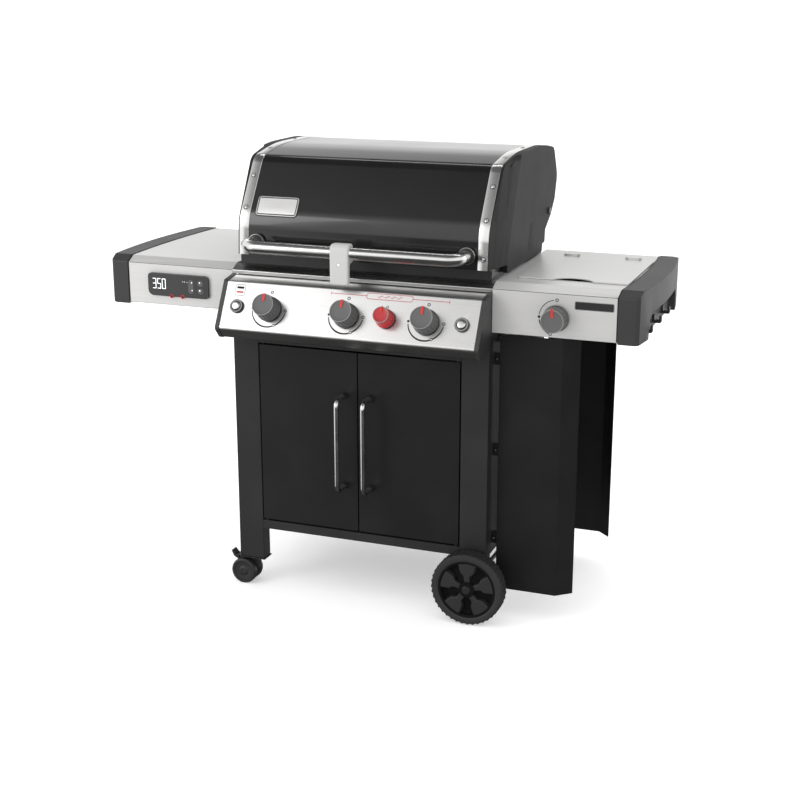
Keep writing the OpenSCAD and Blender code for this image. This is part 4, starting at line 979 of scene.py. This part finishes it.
# ---- Ends of the lid ---------------------------------------------------------------------
# Dark painted aluminium castings, hollow inside. A broad slanted face runs up the front of
# each, the rest is flat, and the lower edge hangs past the firebox as a skirt.
casting = moulding("lid_casting", 0.02, 0.5, 0.12, 0.12)
casting_x = [lid_half + 0.15, lid_half + 7, span("lid_ends")[1].x]
foot = [(537, 990, 12), (480, 956, 10), (477, 921.5, 6)]
end_section = moved(lid_section, 1.4) + bent([(572, 1030, 0), *foot, (22, 921.5, 0)], 4)[1:-1]


def slanted(point, x):
    """Moves a point of the front back behind the slanted face at that x."""
    part = max(0, (x - casting_x[0] - 1.5) / (casting_x[2] - casting_x[0] - 1.5))
    line = 22 + part * 92 + (point.y - 923) * (0.1 + 0.335 * part)
    return Vector((max(point.x, line), point.y)) if part > 0 and point.x < 260 else point


def hung(point, x):
    """Lowers the bottom edge into the skirt, outside the firebox."""
    if point.y > 924 or x < casting_x[1] + 0.1:
        return point
    return Vector((point.x, 899.5 if 120 < point.x < 450 else point.y))


bottom = [Vector((y, 921.5)) for y in (470, 455, 449, 444, 300, 140, 127, 123, 118, 60, 30)]
end_section += bottom
for sign, name in ((-1, "left"), (1, "right")):
    thin = moved(end_section, -5, closed=True)
    rings = [[(sign * (casting_x[2] - 5), *slanted(p, casting_x[2] - 6))
              for p in moved(end_section, -5.2, closed=True)],
             [(sign * casting_x[0], *p) for p in thin],
             [(sign * casting_x[0], *p) for p in end_section],
             [(sign * (casting_x[0] + 1.5), *p) for p in end_section],
             [(sign * casting_x[1], *slanted(p, casting_x[1])) for p in end_section],
             [(sign * (casting_x[1] + 0.2), *slanted(hung(p, casting_x[2]), casting_x[1]))
              for p in end_section],
             [(sign * casting_x[2], *slanted(hung(p, casting_x[2]), casting_x[2])) for p in end_section]]
    piece = rounded(body_of("lid_end_" + name, *skin(rings), "lid", casting, "cast_end", 30), 1.6, 3, 34)
    if name == "left":
        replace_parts(piece, "lid_ends")
    # The slot in each casting is a near-black plate: painted shade of the opening.
    slot_shade_outline = bent([(307, 924.5, 2), (355, 924.5, 2), (349, 996, 11), (326, 996, 8)], 5, closed=True)
    rings = [[(sign * x, p.x, p.y) for p in slot_shade_outline] for x in (casting_x[2] - 3, casting_x[2] + 0.12)]
    body_of("lid_slot_" + name, *skin(rings), "lid", painted_hollow_shade, "cast_end")

# ---- Trims and rivets of the lid ---------------------------------------------------------
# Polished stainless strips over the joint of sheet and castings, fixed by domed rivets.
trim_steel = brushed("trim_steel", 0.8, 0.2, "Y")
rivet_steel = polished("rivet_steel", 0.62, 0.16)
rivet_profile = [(5.6, 1.0), (5.6, 1.7), (5.1, 2.5), (3.9, 2.9), (3.3, 2.5), (1.8, 3.3), (0, 3.5)]
# A flat near-black ring round each rivet's foot: painted shade in the crevice.
rivet_rim_shade_profile = [(6.9, 1.0), (6.9, 1.32), (5.5, 1.32)]
trim_width = 27
for sign, name in ((-1, "left"), (1, "right")):
    rings = []
    for x, proud in ((lid_half - trim_width, 0.05), (lid_half - trim_width + 0.5, 0.8),
                     (lid_half - trim_width + 1.6, 1.2),
                     (lid_half - 1.6, 1.2), (lid_half - 0.5, 0.9), (lid_half - 0.02, 0.05)):
        rings.append([(sign * x, *p) for p in moved(lid_section, proud)])
    piece = body_of("lid_trim_" + name, *skin(rings, closed=False, capped=False), "lid", trim_steel,
                    "stainless", 50)
    if name == "left":
        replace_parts(piece, "lid_trims")
    for i, wanted in enumerate((948, 1050, 1118)):
        k = min(range(len(lid_section) - 1), key=lambda j: abs((lid_section[j].y
                                                                + lid_section[j + 1].y) / 2 - wanted)
                if lid_section[j].x < 140 else 1e9)
        part = max(0, min(1, (wanted - lid_section[k].y) / (lid_section[k + 1].y - lid_section[k].y)))
        spot = lid_section[k].lerp(lid_section[k + 1], part)
        way = (lid_section[k + 1] - lid_section[k]).normalized()
        seat = (sign * (lid_half - 12.5), *spot), (0, -way.y, way.x), 24
        body_of(f"rivet_shade_front_{name}_{i + 1}", *skin(turned(rivet_rim_shade_profile, *seat), capped=False), "lid",
                painted_hollow_shade, "chrome")
        dome = turned(rivet_profile, *seat)
        piece = body_of(f"rivet_front_{name}_{i + 1}", *skin(dome, capped=False), "lid", rivet_steel,
                        "chrome", 60)
        if name == "left" and i == 0:
            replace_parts(piece, "lid_rivets")
    for i, wanted in enumerate((199, 356, 513)):
        k = next(j for j in range(len(lid_section) - 1) if lid_section[j].x <= wanted < lid_section[j + 1].x
                 and lid_section[j].y > 1150)
        spot = lid_section[k].lerp(lid_section[k + 1], (wanted
                                                        - lid_section[k].x) / (lid_section[k + 1].x
                                                                               - lid_section[k].x))
        way = (lid_section[k + 1] - lid_section[k]).normalized()
        seat = (sign * (lid_half - 12.5), *spot), (0, -way.y, way.x), 24
        body_of(f"rivet_shade_top_{name}_{i + 1}", *skin(turned(rivet_rim_shade_profile, *seat), capped=False), "lid",
                painted_hollow_shade, "chrome")
        dome = turned(rivet_profile, *seat)
        body_of(f"rivet_top_{name}_{i + 1}", *skin(dome, capped=False), "lid", rivet_steel, "chrome", 60)

# ---- Lid handle --------------------------------------------------------------------------
# One bent steel tube, polished, on black ferrules bolted through the lid.
low, high = span("lid_handle")
grip_radius = 16
grip_y, grip_z, grip_x = low.y + grip_radius, (low.z + high.z) / 2, high.x - grip_radius
face_y = 24.2
path = bent([(-grip_x, face_y - 6, grip_z, 0), (-grip_x, grip_y, grip_z, 34), (grip_x, grip_y, grip_z, 34),
             (grip_x, face_y - 6, grip_z, 0)], 14)
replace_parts(body_of("lid_handle_tube", *skin(tube(path, grip_radius, 40)), "lid", handle_steel, "chrome"),
            "lid_handle")
for sign, name in ((-1, "left"), (1, "right")):
    ferrule = turned([(20.4, -0.5), (20.8, 0.5), (21, 2), (20.8, 6), (20.0, 13), (19.4, 15.4),
                      (18.4, 16.6), (16.1, 17.0), (16.1, 12)],
                     (sign * grip_x, face_y, grip_z), (0, -1, 0), 56)
    collar = turned([(21.3, 8.0), (21.6, 8.6), (21.6, 10.2), (21.2, 10.8), (19.5, 10.9)],
                    (sign * grip_x, face_y, grip_z), (0, -1, 0), 56)
    body_of("ferrule_collar_" + name, *skin(collar, capped=False), "lid", handle_steel, "chrome", 50)
    piece = body_of("ferrule_" + name, *skin(ferrule, capped=False), "lid", black_moulding,
                    "dark_plastic", 50)
    if name == "left":
        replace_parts(piece, "handle_ferrules")

# ---- Handle light ------------------------------------------------------------------------
# A pale grey cast lamp clamped on the handle, with a flush round key on its front and a lens
# below that shines on the grates when the lid is up.
lamp_grey = Finish("lamp_grey", (0.5, 0.5, 0.49), 0.36)
lamp_grey.set(Roughness=0.30 + 0.1 * lamp_grey.noise(25, 3))
lamp_grey.bump(lamp_grey.noise(1200, 2), 0.08, 0.0003)
low, high = span("handle_light")


def lamp_outline(grow):
    g = grow
    return bent([(low.y - g, low.z - g, 4), (grip_y - 4 + g, low.z - g, 3), (grip_y - 4 + g, grip_z - 27, 6),
                 (grip_y + 20 + g, grip_z - 20, 6), (grip_y + 20 + g, high.z + g, 12),
                 (low.y - g, high.z + g, 14)], 6, closed=True)


rings = []
for x, inset in ((low.x, 4.0), (low.x + 0.8, 2.0), (low.x + 2.2, 0.7), (low.x + 4.5, 0.15), (low.x + 8, 0),
                 (high.x - 8, 0), (high.x - 4.5, 0.15), (high.x - 2.2, 0.7), (high.x - 0.8, 2.0),
                 (high.x, 4.0)):
    rings.append([(x, *p) for p in lamp_outline(-inset)])
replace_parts(body_of("lamp_housing", *skin(rings), "lid", lamp_grey.material, "light_grey", 40),
            "handle_light")
lamp_x = (low.x + high.x) / 2
button_spot = (lamp_x, low.y, high.z - 50)
key = turned([(5.2, -1), (5.2, 0.1), (4.8, 0.35), (4.4, 0.1), (4.2, -0.6)], button_spot, (0, -1, 0), 40)
body_of("lamp_key_rim", *skin(key, capped=False), "lid", knob_ring, "light_grey", 40)
lamp_white = Finish("lamp_white", (0.8, 0.8, 0.79), 0.3)
lamp_white.set(Roughness=0.26 + 0.1 * lamp_white.noise(60, 2))
key = turned([(4.1, -1), (4.0, 0.1), (3.2, 0.4), (0, 0.5)], button_spot, (0, -1, 0), 40)
body_of("lamp_key", *skin(key, capped=False), "lid", lamp_white.material, "light_grey", 40)
lens = Finish("lamp_lens", (0.75, 0.75, 0.72), 0.2, Coat_Weight=0.4)
lens.set(Roughness=0.16 + 0.1 * lens.noise(60, 2))
outline = plate_outline(low.x + 8, high.x - 8, low.y + 3, grip_y - 7, 4)
rings = [[(p.x, p.y, z) for p in outline] for z in (low.z + 0.8, low.z - 0.25)]
body_of("lamp_lens", *skin(rings), "lid", lens.material, "light_grey")

# ---- Badge -------------------------------------------------------------------------------
# A small blank plate of satin aluminium with a raised border, curved to the lid.
badge_steel = brushed("badge_steel", 0.74, 0.34, metal=0.6)
low, high = span("lid_badge")
first = next(i for i, p in enumerate(lid_section) if p.y > low.z)
slope = (lid_section[first] - lid_section[first - 1]).normalized()
badge_base = lid_section[first - 1] + slope * ((low.z - lid_section[first - 1].y) / slope.y)
badge_end_i = next(i for i, p in enumerate(lid_section) if p.y > high.z)
slope = (lid_section[badge_end_i] - lid_section[badge_end_i - 1]).normalized()
badge_tip = lid_section[badge_end_i - 1] + slope * ((high.z - lid_section[badge_end_i - 1].y) / slope.y)
badge_path = [badge_base, *[p for p in lid_section[first:badge_end_i]], badge_tip]


def along_path(path, share):
    lengths = [(b - a).length for a, b in zip(path, path[1:])]
    wanted = share * sum(lengths)
    for a, b, length in zip(path, path[1:], lengths):
        if wanted <= length:
            return a.lerp(b, wanted / length), (b - a).normalized()
        wanted -= length
    return path[-1], (path[-1] - path[-2]).normalized()


def on_badge(x, share, out):
    spot, way = along_path(badge_path, min(1, max(0, share)))
    return Vector((x, spot.x - way.y * out, spot.y + way.x * out))


def badge_plate(name, inset, out, material):
    """A plate with rounded corners that follows the lid's curve."""
    width, height = high.x - low.x - 8 - 2 * inset, 55 - 2 * inset
    middle = (low.x + high.x) / 2 + 2
    outline = plate_outline(-width / 2, width / 2, -height / 2, height / 2, max(3.0, 10 - inset), 5)
    rings = [[on_badge(middle + p.x * grow, 0.5 + p.y * grow / 55.5, level) for p in outline]
             for grow, level in ((1, out - 1.0), (1, out - 0.25), (0.994, out), (0.66, out), (0.33, out),
                                 (0.01, out))]
    return body_of(name, *skin(rings, capped=False), "lid", material, "stainless", 30)


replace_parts(badge_plate("badge_plate", 0, 1.3, black_moulding), "lid_badge")
badge_plate("badge_rim", 2.6, 1.6, badge_steel)
badge_plate("badge_band", 4.2, 1.75, black_moulding)
badge_plate("badge_field", 7.0, 1.95, badge_steel)

# ---- Side burner -------------------------------------------------------------------------
# A cast burner under a wire grate, sunk in a pressed steel bowl in the right table. A brushed
# stainless cover with a scoop for the fingers hinges up behind it.
cover_steel = brushed("cover_steel", 0.72, 0.36, "X", metal=0.4)
paint("side_burner_lid", cover_steel)
soften("side_burner_lid", 1.1, 3, 25)
paint("side_burner_bowl", brushed("bowl_steel", 0.55, 0.4, "Y"))
soften("side_burner_bowl", 1)
paint("side_burner", cast_iron("burner_iron", 0.06))
soften("side_burner", 1)
paint("cover_hinges", zinc)
soften("cover_hinges", 0.5)

# The narrow gap between the cover and the table, drawn as a dark strip on the table: painted shade
low, high = span("side_burner_lid")
gap = Print(lambda x, depth: Vector((x, depth, edge_high.z + 0.14)))
gap.line([(low.x - 1.3, high.y), (low.x - 1.3, low.y - 1.3), (high.x + 1.3, low.y - 1.3),
          (high.x + 1.3, high.y)], 2.4)
gap.piece("cover_gap_painted_shade", seal_and_gap_shade)

facing_plate("name_plate_rim", plate_outline(564, 661, 844, 865, 4), table_front, table_front - 0.5,
             "cart", knob_ring, "stainless", 0.2)
facing_plate("name_plate", plate_outline(565.5, 659.5, 845.5, 863.5, 3), table_front, table_front - 0.8,
             "cart",
             black_moulding, "dark_plastic", 0.3)

# ---- Screws ------------------------------------------------------------------------------
# Domed screw heads with a shallow round recess, where the shields are bolted on.
screw_steel = polished("screw_steel", 0.2, 0.42)


def screw(name, spot, axis, radius):
    dome = turned([(radius, -0.4), (radius, 0.3), (radius * 0.9, 1.0), (radius * 0.6, 1.6),
                   (radius * 0.36, 1.75), (radius * 0.3, 0.9), (0, 0.8)],
                  spot, axis, 20)
    return body_of(name, *skin(dome, capped=False), "cart", screw_steel, "steel", 40)


leg_high = span("legs")[1]
for i, z in enumerate((215, 455, 695)):
    screw(f"shield_screw_{i + 1}", (leg_high.x + 8, shield_low.y + 0.2, z), (0, -1, 0), 3.2)
